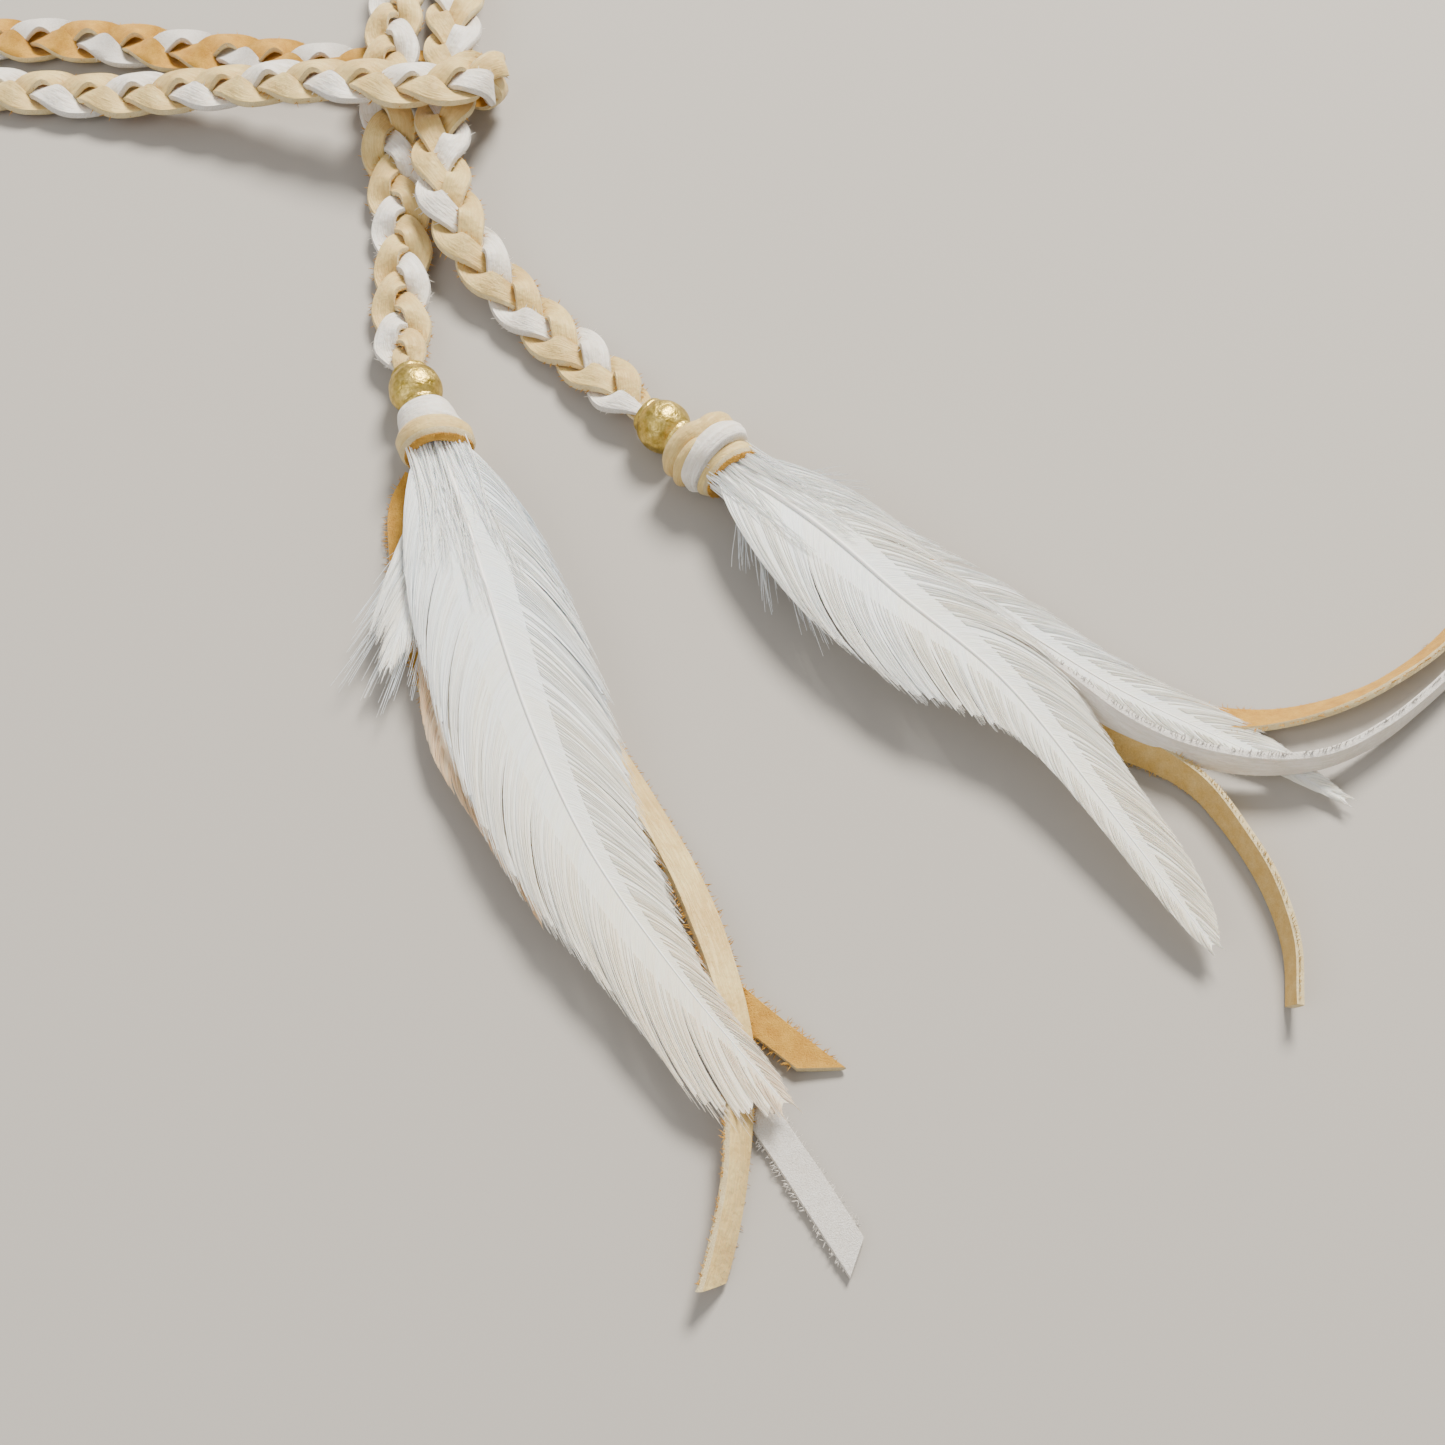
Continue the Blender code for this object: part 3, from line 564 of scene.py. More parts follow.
def braid_route():
    past_bead = 4.2
    left_tail = [
        tuple(LEFT_BEAD + LEFT_AXIS * past_bead), tuple(LEFT_BEAD),
        tuple(LEFT_BEAD - LEFT_AXIS * 5.0), (-54.2, 77.0, 2.7), (-54.7, 88.0, FLOOR_RUN),
        (-55.7, 98.5, FLOOR_RUN), (-57.3, 107.5, 2.9),
        (-58.8, 116.5, 5.6), (LEFT_RUN_X, 125.0, 7.2)]
    left_run = [(LEFT_RUN_X, 134.0, MIDDLE_RUN), (LEFT_RUN_X, 145.0, MIDDLE_RUN - 0.6),
                (LEFT_RUN_X, 160.0, 4.4), (LEFT_RUN_X, 180.0, FLOOR_RUN + 0.2),
                (LEFT_RUN_X, 203.0, FLOOR_RUN)]
    inner_ring = ring_arc(RING_RADIUS - RUN_SPACING / 2, twist_height)
    lower_run = [(-120.0, 142.4, FLOOR_RUN), (-95.0, 139.0, FLOOR_RUN), (-77.0, 136.6, FLOOR_RUN),
                 (-62.0, 134.6, FLOOR_RUN), (-52.0, 133.4, FLOOR_RUN)]
    turn = []
    for step in range(7):
        angle = -math.pi / 2 + math.pi * step / 6
        turn.append((TURN_CENTRE_X + TURN_RADIUS * math.cos(angle), 131.6 - 9.4 * step / 6,
                     (TOP_RUN + FLOOR_RUN) / 2 + TURN_RADIUS * math.sin(angle)))
    upper_run = [(-52.0, 120.8, TOP_RUN), (-61.0, 121.6, TOP_RUN - 0.1), (-72.0, 123.6, 11.2),
                 (-85.0, 125.4, 8.2), (-98.0, 126.6, 5.4), (-112.0, 128.0, 3.2),
                 (-127.0, 130.0, FLOOR_RUN)]
    outer_ring = ring_arc(RING_RADIUS + RUN_SPACING / 2, lambda turn: FLOOR_RUN)
    right_run = [(RIGHT_RUN_X, 203.0, FLOOR_RUN), (RIGHT_RUN_X, 180.0, FLOOR_RUN + 0.2),
                 (RIGHT_RUN_X, 160.0, 4.4), (RIGHT_RUN_X, 145.0, MIDDLE_RUN - 0.6),
                 (RIGHT_RUN_X, 134.0, MIDDLE_RUN), (RIGHT_RUN_X, 125.0, MIDDLE_RUN)]
    right_tail = [(-48.9, 116.0, MIDDLE_RUN), (-48.9, 107.5, MIDDLE_RUN), (-46.6, 98.0, 7.2),
                  (-42.0, 89.5, 5.4), (-35.6, 81.4, 3.4), (-28.2, 73.4, 2.6), (-20.8, 65.6, 3.2),
                  tuple(RIGHT_BEAD - RIGHT_AXIS * 5.0), tuple(RIGHT_BEAD),
                  tuple(RIGHT_BEAD + RIGHT_AXIS * past_bead)]
    knots = (left_tail + left_run + list(reversed(inner_ring)) + lower_run + turn + upper_run
             + outer_ring + right_run + right_tail)
    route = Route(knots, (-1.0, 0.0, 0.0))
    ring_top = route.nearest_arc(RING_CENTRE + np.array((-60.0, 60.0, 0.0)), 0.0, route.length / 2)
    route.half_twist = (ring_top - 55.0, ring_top + 55.0)
    return route


STRANDS = {"white": 0.0, "tan_a": 1.0 / 3.0, "tan_b": 2.0 / 3.0}
STRAND_WIDTH = 4.35
STRAND_THICKNESS = 1.3
STRAND_SWING = 2.95
STRAND_LIFT = 1.42
STRAND_EDGE_TILT = 0.72
STRAND_TURN_TILT = 0.42
SECTIONS_PER_PITCH = 30


def strand_surface(route, name, arcs, seed):
    """Rings of points of one lace of the braid, and its edges for the stray fibres."""
    phase = STRANDS[name]
    across, height, finish = lace_outline(STRAND_WIDTH, STRAND_THICKNESS)
    angle = 2 * math.pi * (arcs / BRAID_PITCH + phase + BRAID_PHASE)
    angle = angle + 0.10 * wander(arcs, seed, 60.0)
    from_end = np.minimum(arcs, route.length - arcs)
    size = 0.44 + 0.56 * smooth_step((from_end - 7.5) / 8.0)
    swing = (STRAND_SWING + 0.16 * wander(arcs, seed + 1, 45.0)) * size
    slope = swing * np.cos(angle) * 2 * math.pi / BRAID_PITCH
    stretch = np.hypot(1.0, slope)
    lift = -STRAND_LIFT * np.sin(2 * angle) * size + 0.10 * wander(arcs, seed + 2, 30.0)
    tilt = (STRAND_TURN_TILT * np.cos(angle) - STRAND_EDGE_TILT * np.cos(3 * angle)
            + 0.12 * wander(arcs, seed + 3, 25.0)) * size
    widen = 1.0 + 0.05 * wander(arcs, seed + 4, 35.0)
    offset = across[None, :] * (size * widen)[:, None]
    bow = -0.22 * (across / across.max()) ** 2
    where = arcs[:, None] - offset * (slope / stretch)[:, None]
    point, side, face = route.where(where)
    sideways = (swing * np.sin(angle))[:, None] + offset / stretch[:, None]
    rise = (lift[:, None] + tilt[:, None] * (across / across.max())[None, :]
            + (height + bow)[None, :] * size[:, None])
    rings = point + side * sideways[..., None] + face * rise[..., None]
    keep_above(rings, 0.05)
    return rings, stacked(arcs[:, None] + seed * 31.0, offset, height[None, :]), finish


def add_strand(route, name, strand, start, end, nodes, fuzz):
    """One lace of the braid between two arc lengths."""
    seed = 11 + list(STRANDS).index(strand) * 7
    count = max(8, round((end - start) / BRAID_PITCH * SECTIONS_PER_PITCH))
    arcs = np.linspace(start, end, count + 1)
    rings, values, finish = strand_surface(route, strand, arcs, seed)
    shape = Shape()
    shape.grid(rings, values, finish)
    white = strand == "white"
    fibres = round((end - start) * fuzz * (0.6 if white else 1.0))
    fuzz_edges(shape, rings, unit(np.gradient(rings[:, 0], axis=0)), fibres, 0.9, seed)
    slot = "white_leather" if white else "tan_leather"
    piece = shape.make(name, LEATHER[slot], "lace")
    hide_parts(*nodes)
    return piece


def add_braid():
    """One piece per lace for the band, and one per lace for each tail, joined under the loop."""
    route = braid_route()
    left_cut = route.nearest_arc((-59.3, 120.5), 0.0, 200.0)
    right_cut = route.nearest_arc((-48.8, 120.5), route.length - 200.0, route.length)
    for strand in STRANDS:
        band = add_strand(route, f"band_{strand}", strand, left_cut, right_cut,
                          [f"{run}_{strand}" for run in ("outer_run", "inner_run", "loop")], 0.25)
        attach(band, "band")
        for tail, start, end, fuzz in (("left_tail", 0.0, left_cut, 1.3),
                                       ("right_tail", right_cut, route.length, 1.1)):
            lace = add_strand(route, f"{tail}_lace_{strand}", strand, start, end,
                              [f"{tail}_{strand}"], fuzz)
            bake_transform(lace)


# ---------------------------------------------------------------- beads and knots

def add_bead(name, centre, axis, seed):
    """A cast and hammered brass bead with a large bore and soft collars."""
    draw = np.random.default_rng(seed)
    profile = [(-3.3, 2.4), (-3.75, 2.45), (-4.0, 2.7), (-3.95, 3.0), (-3.6, 3.2), (-3.3, 3.25)]
    for step in range(25):
        angle = math.radians(-44 + 88 * step / 24)
        profile.append((4.5 * math.sin(angle), 4.5 * math.cos(angle)))
    profile += [(3.3, 3.25), (3.6, 3.2), (3.95, 3.0), (4.0, 2.7), (3.75, 2.45), (3.3, 2.4)]
    along = np.array([point[0] for point in profile])
    radius = np.array([point[1] for point in profile])
    across = np.cross(UP, axis)
    turns = 2 * math.pi * np.arange(72) / 72
    heading = np.stack((np.broadcast_to(along, (72, len(profile))),
                        radius * np.cos(turns)[:, None], radius * np.sin(turns)[:, None]), axis=-1)
    direction = unit(heading)
    dent = np.zeros(direction.shape[:2])
    for _ in range(46):
        spot = unit(draw.normal(size=3) * np.array((0.7, 1.0, 1.0)))
        gap = np.arccos(np.clip(direction @ spot, -1.0, 1.0))
        dent += draw.uniform(0.05, 0.13) * np.exp(-(gap / draw.uniform(0.16, 0.30)) ** 2)
    dent = dent * (radius > 2.6)
    heading = heading - direction * dent[..., None]
    rings = (centre + heading[..., :1] * axis + heading[..., 1:2] * across
             + heading[..., 2:] * UP)
    keep_above(rings, 0.02)
    shape = Shape()
    shape.loops(rings, np.zeros(rings.shape), 0)
    settle(shape.make(name + "_hammered", (BRASS,), "lace", 40.0), name, name)


def add_turn(name, bead, axis, body, slot, profile, flesh_from, slant, lumps, seed):
    """One turn of lace round the knot, from a closed profile of (along, radius) points.

    Points past flesh_from show the lace's flesh side; 0 means none do.
    """
    across_knot = np.cross(UP, axis)
    centre = bead + UP * KNOT_RISE
    profile = np.array(profile)
    steps = 84
    turns = 2 * math.pi * np.arange(steps) / steps
    round_turn = np.stack((np.cos(turns), np.sin(turns)), axis=-1) * 4.0
    lump = wander(round_turn[:, 0], seed, 7.0, 1) + wander(round_turn[:, 1], seed + 2, 6.0, 1)
    shift = wander(round_turn[:, 0], seed + 5, 8.0, 1) + wander(round_turn[:, 1], seed + 7, 9.0, 1)
    ridge = 0.10 * np.cos(np.arange(len(profile)) * 2.4)
    radius = profile[None, :, 1] + (lumps * lump)[:, None] + ridge[None, :]
    travel = (profile[None, :, 0] + (slant * 5.0 * np.cos(turns) + lumps * shift)[:, None])
    rings = (centre + travel[..., None] * axis
             + (radius * np.cos(turns)[:, None])[..., None] * across_knot
             + (radius * np.sin(turns)[:, None])[..., None] * UP)
    keep_above(rings, 0.03)
    values = stacked((turns * 5.0)[:, None] + seed * 17.0, profile[None, :, 0], profile[None, :, 1])
    finish = np.full(len(profile), GRAIN)
    finish[:2] = EDGE
    if flesh_from:
        finish[flesh_from] = EDGE
        finish[flesh_from + 1:] = FLESH
    shape = Shape()
    shape.loops(rings, values, finish)
    if flesh_from:
        edge = rings[:, flesh_from + 1]
        outward = np.broadcast_to(axis, edge.shape)
        tangent = unit(np.gradient(edge, axis=0))
        add_fuzz(shape, edge, outward, tangent, 110, 0.7, seed)
    settle(shape.make(name + "_wrap", LEATHER[slot], "lace"), body, name + "_turn")


def add_strip(name, bead, axis, body, slot, path, width, seed):
    """A lace that crosses over the knot; the path's points are (along, degrees round, radius)."""
    across_knot = np.cross(UP, axis)
    centre = bead + UP * KNOT_RISE
    knots = []
    for along, degrees, radius in path:
        turn = math.radians(degrees)
        knots.append(centre + axis * along
                     + radius * (across_knot * math.cos(turn) + UP * math.sin(turn)))
    points = spline(knots, 0.35)
    tangents = unit(np.gradient(points, axis=0))
    spokes = points - centre
    spokes = unit(spokes - axis * (spokes @ axis)[:, None])
    across_lace = unit(np.cross(tangents, spokes))
    outward = np.cross(across_lace, tangents)
    across, height, finish = lace_outline(width, 1.7, 0.45, -0.02)
    arcs = np.linspace(0.0, 1.0, len(points))
    full = 0.9 + 0.1 * np.sin(math.pi * arcs)
    bow = -0.5 * (across / across.max()) ** 2
    rings = (points[:, None] + across_lace[:, None] * (across * full[:, None])[..., None]
             + outward[:, None] * (height + bow)[None, :, None])
    keep_above(rings, 0.03)
    shape = Shape()
    shape.grid(rings, stacked((arcs * 14.0)[:, None] + seed * 17.0, across[None, :],
                              height[None, :]), finish)
    fuzz_edges(shape, rings, tangents, 14, 0.6, seed)
    settle(shape.make(name, LEATHER[slot], "lace"), body)


def add_core(name, bead, axis, body, end):
    """The gathered lace ends inside the knot."""
    across_knot = np.cross(UP, axis)
    shape = Shape()
    outline, height, finish = lace_outline(3.4, 1.5)
    for index, (sideways, lift, roll) in enumerate(
            ((-1.5, 1.2, 0.3), (1.4, 1.5, -0.3), (0.0, -1.4, 0.1), (0.1, 0.3, 0.0))):
        rings = []
        for along in np.linspace(4.9, end - 0.1 * index, 8):
            centre = bead + UP * (KNOT_RISE + lift) + axis * along + across_knot * sideways
            lean_side = across_knot * math.cos(roll) + UP * math.sin(roll)
            lean_up = UP * math.cos(roll) - across_knot * math.sin(roll)
            rings.append(centre + outline[:, None] * lean_side + height[:, None] * lean_up)
        rings = np.array(rings)
        shape.grid(rings, rings, finish)
    settle(shape.make(name + "_laces", LEATHER["tan_leather"], "lace"), body, name)


# ---------------------------------------------------------------- feathers

def vane_table(part, table, column):
    """Half width of a vane at a share of its length, smooth between the table's rows."""
    shares = np.array([row[0] for row in table])
    widths = np.array([row[column] for row in table])
    slopes = np.gradient(widths, shares)
    part = np.clip(part, 0.0, 1.0)
    low = np.clip(np.searchsorted(shares, part) - 1, 0, len(shares) - 2)
    gap = shares[low + 1] - shares[low]
    t = (part - shares[low]) / gap
    return np.maximum(widths[low] * (2 * t ** 3 - 3 * t ** 2 + 1)
                      + slopes[low] * gap * (t ** 3 - 2 * t ** 2 + t)
                      + widths[low + 1] * (3 * t ** 2 - 2 * t ** 3)
                      + slopes[low + 1] * gap * (t ** 3 - t ** 2), 0.15)


LEAN_SHARES = (0.0, 0.12, 0.35, 0.8, 1.0)     # where along a feather its leans are given
FIRST_RUN = 8.0
RUN_STEPS = 14
RUN_STEP_SHARE = 0.35
FIRST_BARB = -4.0
NEAT_FRAY = 0.15


class Vane:
    """One side of a feather: curved barbs that leave the quill and bend towards the tip."""

    def __init__(self, route, table, column, lean, camber, quill):
        self.route = route
        self.table = table
        self.column = column
        self.sign = (-1.0, 1.0)[column - 1]
        self.lean = lean
        self.camber = camber
        self.quill = quill

    def barb(self, root, q, pull, lift, longer=1.0, gather=0.0):
        """Points and face directions along one barb, whose root is at an arc length."""
        length = self.route.length
        part = root / length
        lean = math.radians(np.interp(part, LEAN_SHARES, self.lean))
        run = FIRST_RUN
        for _ in range(RUN_STEPS):
            tip = min((root + run) / length, 1.0)
            reach = float(vane_table(tip, self.table, self.column))
            wanted = min(reach / math.tan(lean), (length - root) * 0.97 + 1.2)
            run += RUN_STEP_SHARE * (wanted - run)
        along = root + (run * (0.35 * q + 0.65 * q ** 1.6) + gather * q ** 2) * longer + pull * q ** 2
        sideways = reach * (1.0 - (1.0 - np.minimum(q, 1.0)) ** 1.45)
        sideways = sideways + (longer - 1.0) * reach * 0.25 * q ** 2
        width = float(vane_table(0.35, self.table, self.column))
        height = (-self.camber * (sideways / width) ** 2 + 0.5 * self.camber * sideways / width
                  + lift * q ** 1.5)
        centre, side, face = self.route.where(along)
        offset = self.sign * (sideways + self.quill * 0.5 * (1.0 - part))
        line = centre + side * offset[:, None] + face * height[:, None]
        line[:, 2] = np.maximum(line[:, 2], 0.15)
        return line, face


def tassel_of(name):
    return name.split("_")[0] + "_tassel"


def add_hair(shape, line, width, tone, seed):
    """A thin closed barb with a three-sided section that tapers to its tip."""
    count = len(line)
    way = unit(np.gradient(line, axis=0))
    flat = unit(np.cross(way, UP) + 1e-9)
    upright = np.cross(flat, way)
    taper = (0.5 * width * (1.0 - 0.75 * np.linspace(0.0, 1.0, count) ** 1.5))[:, None]
    rings = np.stack((line - flat * taper, line + flat * taper, line + upright * taper * 1.2),
                     axis=1)
    travelled = np.concatenate(([0.0], np.cumsum(np.linalg.norm(np.diff(line, axis=0), axis=1))))
    values = stacked(seed * 3.7, travelled[:, None] * np.ones((1, 3)), tone)
    shape.grid(rings, values, 0, end_finish=0)


def add_web(shape, lines, faces, tone, roots):
    """A closed thin sheet of barbs that cling together."""
    lines = np.array(lines)
    faces = np.array(faces)
    steps = lines.shape[1]
    thick = (0.07 * (1.0 - 0.7 * np.linspace(0.0, 1.0, steps)))[:, None]
    top = lines + faces * thick
    bottom = (lines - faces * thick)[::-1]
    ring = np.concatenate((top, bottom), axis=0).transpose(1, 0, 2)
    travelled = np.cumsum(np.linalg.norm(np.diff(lines, axis=1, prepend=lines[:, :1]), axis=2),
                          axis=1)
    values = stacked(np.array(roots)[:, None], travelled, tone)
    values = np.concatenate((values, values[::-1]), axis=0).transpose(1, 0, 2)
    shape.grid(ring, values, 0, end_finish=0)


def add_feather(name, knots, table, seed, lean=(24, 26, 24, 18, 12), camber=1.8, split=0.7,
                tone=(0.2, 0.2), edge_tone=0.0, quill=0.5, hairs=2.2, fray=1.0, neat_from=1.0):
    """A quill with a web of barbs on both sides, split here and there and frayed at the edge."""
    draw = np.random.default_rng(seed)
    route = Route(knots, (1.0, 0.3, 0.0))
    length = route.length
    shape = Shape()
    arcs = np.linspace(-3.0, length * 0.985, 60)
    point, side, face = route.where(arcs)
    thickness = quill * (1.0 - 0.86 * np.clip(arcs / length, 0.0, 1.0) ** 0.8)
    turns = 2 * math.pi * np.arange(7) / 7
    rings = (point[:, None] + side[:, None] * (thickness[:, None] * np.cos(turns))[..., None]
             + face[:, None] * (thickness[:, None] * (0.5 + 0.9 * np.sin(turns)))[..., None])
    shape.grid(rings, np.full((60, 7, 3), 0.4), 1, end_finish=1)
    q = np.linspace(0.0, 1.0, 10)
    for column in (1, 2):
        vane = Vane(route, table, column, lean, camber, quill)
        root = FIRST_BARB
        while root < length - 1.5:
            part = max(root, 0.0) / length
            neat = part > neat_from
            loose = fray * (NEAT_FRAY if neat else 1.0)
            span = min(draw.uniform(1.8, 7.0) * (1.0 - 0.55 * part), length - 0.8 - root)
            pull = draw.uniform(-0.9, 0.7) * loose
            lift = draw.uniform(-0.12, 0.22)
            count = max(3, round(span / 0.8) + 1)
            roots = np.linspace(root, root + span * 1.04, count)
            gap = 0.0 if neat else split * draw.uniform(0.0, 1.0) ** 2.0
            webs = [vane.barb(barb, q, pull, lift,
                              gather=(roots.mean() - barb) * gap) for barb in roots]
            # the tone picks the barbs' colour from the ramp in barb_material; low tones carry its
            # bluish painted shade
            shade = tone[0] + (tone[1] - tone[0]) * part + draw.uniform(-0.06, 0.06)
            if column == 1:
                shade += edge_tone
            shade = min(max(shade, 0.0), 1.0)
            line_set = []
            for line, _ in webs:
                ragged = 1.0 - loose * draw.uniform(0.0, 0.05)
                line_set.append(line[0] + (line - line[0]) * ragged)
            add_web(shape, line_set, [face for _, face in webs], shade, roots)
            for _ in range(round(span * hairs)):
                barb = draw.uniform(root, root + span)
                reach = np.linspace(0.25, 1.0, 9)
                line, face = vane.barb(barb, reach, pull + draw.uniform(-0.4, 0.4) * loose,
                                       lift + draw.uniform(0.0, 0.25),
                                       1.0 + loose * draw.uniform(0.0, 0.13),
                                       (roots.mean() - barb) * gap)
                add_hair(shape, line + face * 0.10, 0.15, min(shade + 0.05, 1.0),
                         draw.uniform(0.0, 9.0))
            root += span
    settle(shape.make(name + "_plume", (BARBS, QUILL), "vane", 80.0), tassel_of(name),
           name + "_feather")


def add_tufts(name, mouth, axis, tips, seed, hairs=15, tone=0.2, spread=2.4, top=0.0):
    """Long separate barbs from the knot's mouth that gather to wispy points."""
    draw = np.random.default_rng(seed)
    across = np.cross(UP, axis)
    shape = Shape()
    t = np.linspace(0.0, 1.0, 11)[:, None]
    for tip in tips:
        tip = np.array(tip, float)
        lean = np.clip(across.dot(tip - mouth) / 9.0, -0.7, 0.7) * spread
        way = unit(tip - mouth)
        outward = across * np.sign(way.dot(across))
        for _ in range(hairs):
            first = (mouth - axis * 2.0 + across * (lean + draw.uniform(-0.5, 0.5) * spread)
                     + UP * draw.uniform(-1.2, 1.2 + top))
            reach = np.linalg.norm(tip - first)
            last = (tip - way * abs(draw.normal(0.0, 0.16)) * reach
                    + np.cross(UP, way) * draw.normal(0.0, 0.8) + UP * draw.uniform(-0.6, 0.9))
            second = first + axis * reach * 0.38 + outward * draw.uniform(-0.6, 1.4)
            third = last - unit(last - second + axis * 4.0) * reach * 0.30 + UP * 0.5
            line = ((1 - t) ** 3 * first + 3 * (1 - t) ** 2 * t * second
                    + 3 * (1 - t) * t ** 2 * third + t ** 3 * last)
            line[:, 2] = np.maximum(line[:, 2], 0.3)
            add_hair(shape, line, draw.uniform(0.16, 0.28), tone + draw.uniform(-0.1, 0.1),
                     draw.uniform(0.0, 9.0))
    settle(shape.make(name, (BARBS,), "vane", 80.0), tassel_of(name))


# ---------------------------------------------------------------- fringe laces

LACE_FIBRES = 2.6      # for each millimetre of a lace's edge


def add_lace(name, knots, rolls, slot, seed, leather=None, flesh_up=False, cut=0.9):
    """A free flat lace of its real length, cut on a slant, lying on its route."""
    route = Route(knots, (1.0, 0.0, 0.0), levelling=4.0)
    count = round(route.length / 0.55)
    arcs = np.linspace(0.0, route.length, count)
    across, height, finish = lace_outline(LACE_WIDTH, LACE_THICKNESS, 0.10, 0.05)
    roll = np.radians(np.interp(arcs / route.length, np.linspace(0, 1, len(rolls)), rolls))
    roll = roll + 0.06 * wander(arcs, seed, 40.0)
    if flesh_up:
        roll = roll + math.pi
    widen = 1.0 + 0.035 * wander(arcs, seed + 1, 30.0)
    offset = across[None, :] * widen[:, None]
    near_end = smooth_step((arcs - route.length + 8.0) / 8.0)
    where = arcs[:, None] + (offset * cut - LACE_WIDTH / 2 * abs(cut)) * near_end[:, None]
    point, side, face = route.where(where)
    leaning = side * np.cos(roll)[:, None, None] + face * np.sin(roll)[:, None, None]
    standing = face * np.cos(roll)[:, None, None] - side * np.sin(roll)[:, None, None]
    bow = -0.10 * (across / across.max()) ** 2
    rings = (point + leaning * offset[..., None]
             + standing * (height + bow)[None, :, None])
    keep_above(rings, 0.03)
    shape = Shape()
    shape.grid(rings, stacked(arcs[:, None] + seed * 41.0, offset, height[None, :]), finish)
    fuzz_edges(shape, rings, unit(np.gradient(rings[:, 0], axis=0)),
               round(route.length * LACE_FIBRES), 0.95, seed)
    piece = shape.make(name + "_lace", leather or LEATHER[slot], "lace")
    settle(piece, tassel_of(name), name)


FLAT = (0, 0)
LEFT_BASE = LEFT_BEAD + LEFT_AXIS * (LEFT_CORE_END + CORE_GAP)
RIGHT_BASE = RIGHT_BEAD + RIGHT_AXIS * (RIGHT_CORE_END + CORE_GAP)
LEFT_START = np.array((LEFT_BASE[0], LEFT_BASE[1], 0.0))
RIGHT_START = np.array((RIGHT_BASE[0], RIGHT_BASE[1], 0.0))


def add_left_laces():
    add_lace("left_fringe_tan", [
        LEFT_BASE + (0.2, 0.0, -0.8), (-40.9, 36.5, 2.9), (-34.5, 22.0, 2.4),
        (-26.6, 8.0, 2.2), (-18.5, -4.2, 2.2), (-12.3, -14.5, 2.2), (-6.2, -26.1, 2.9),
        (-1.8, -37.4, 3.8), (1.2, -48.2, 4.0), (2.4, -56.0, 3.2), (2.3, -65.0, 3.0),
        (1.6, -74.0, 2.6), (-0.1, -83.0, 2.4), (-1.9, -89.8, 2.4)],
        (0, 0, 0, -15, -20, -12, -25, -50, -55), "tan_leather", 101, cut=-0.7)
    add_lace("left_fringe_white", [
        LEFT_BASE + (-0.2, 0.0, -2.3), (-41.7, 35.0, 1.1), (-35.8, 20.0, FLOOR_LACE),
        (-28.2, 4.0, FLOOR_LACE), (-20.5, -14.0, FLOOR_LACE), (-11.5, -33.0, FLOOR_LACE),
        (-5.0, -47.0, FLOOR_LACE), (3.1, -59.9, FLOOR_LACE), (10.6, -71.5, FLOOR_LACE),
        (19.1, -85.4, FLOOR_LACE)],
        FLAT, "white_leather", 102, flesh_up=True, cut=0.8)
    add_lace("left_fringe_ochre", [
        LEFT_BASE + (-3.8, -2.3, -1.9), (-51.2, 39.5, 1.2), (-50.9, 32.0, FLOOR_LACE),
        (-49.0, 21.0, FLOOR_LACE), (-45.5, 9.0, FLOOR_LACE), (-40.6, -4.3, FLOOR_LACE),
        (-34.7, -15.0, FLOOR_LACE), (-27.5, -24.5, 1.2), (-18.0, -32.5, 2.3),
        (-8.0, -39.5, 2.2), (0.0, -45.5, 2.1),
        (6.0, -50.4, 1.4), (15.8, -58.4, FLOOR_LACE)],
        FLAT, "ochre_suede", 103, flesh_up=True, cut=-1.1)


def add_right_laces():
    # this lace's upturned flesh side uses the tan flesh copy with painted light
    add_lace("right_fringe_tan", [
        RIGHT_BASE + RIGHT_AXIS * 0.3 + (0.0, 0.0, -2.3), (14.0, 32.5, 1.1),
        (27.0, 20.0, FLOOR_LACE), (41.0, 7.5, 0.8), (51.0, 0.0, 1.3),
        (59.5, -4.5, 2.1), (66.0, -8.0, 2.5), (71.6, -12.6, 2.55), (76.6, -20.7, 2.55),
        (80.1, -28.9, 2.55), (81.9, -38.5, 2.55), (81.1, -48.6, 2.55)],
        (0, 0, 0, 0, 8, 40, 68, 78, 80, 80), "tan_leather", 201, TAN_LEATHER_PAINTED_LIGHT, flesh_up=True,
        cut=-0.3)
    add_lace("right_fringe_white", [
        RIGHT_BASE + RIGHT_AXIS + (0.0, 0.0, 1.25), (15.5, 35.0, 5.9), (27.0, 26.0, 5.7),
        (40.0, 14.5, 5.4), (52.3, 3.5, 5.3), (60.1, -3.0, 5.2), (68.7, -7.6, 5.0),
        (79.0, -9.9, 4.8), (89.5, -9.1, 4.7), (99.3, -3.9, 3.6), (107.0, 2.4, 2.9),
        (113.5, 8.6, 2.8), (122.0, 18.0, 2.6), (129.0, 29.5, 2.6)],
        (0, 12, 36, 62, 78, 86, 88, 88, 88), "white_leather", 202)
    add_lace("right_fringe_ochre", [
        RIGHT_BASE + RIGHT_AXIS + (0.0, 0.0, -0.8), (17.5, 37.0, 2.0), (32.0, 28.0, 0.9),
        (48.0, 14.5, FLOOR_LACE), (61.0, 5.4, FLOOR_LACE), (72.6, 0.6, 0.8),
        (81.6, -0.4, 1.15), (90.9, 1.0, 1.8), (100.5, 4.9, 2.3),
        (111.6, 13.0, 2.4), (119.5, 23.0, 2.4), (124.5, 34.5, 2.4)],
        (0, 0, 0, 0, -4, -34, -58, -62, -62), "ochre_suede", 203, flesh_up=True)


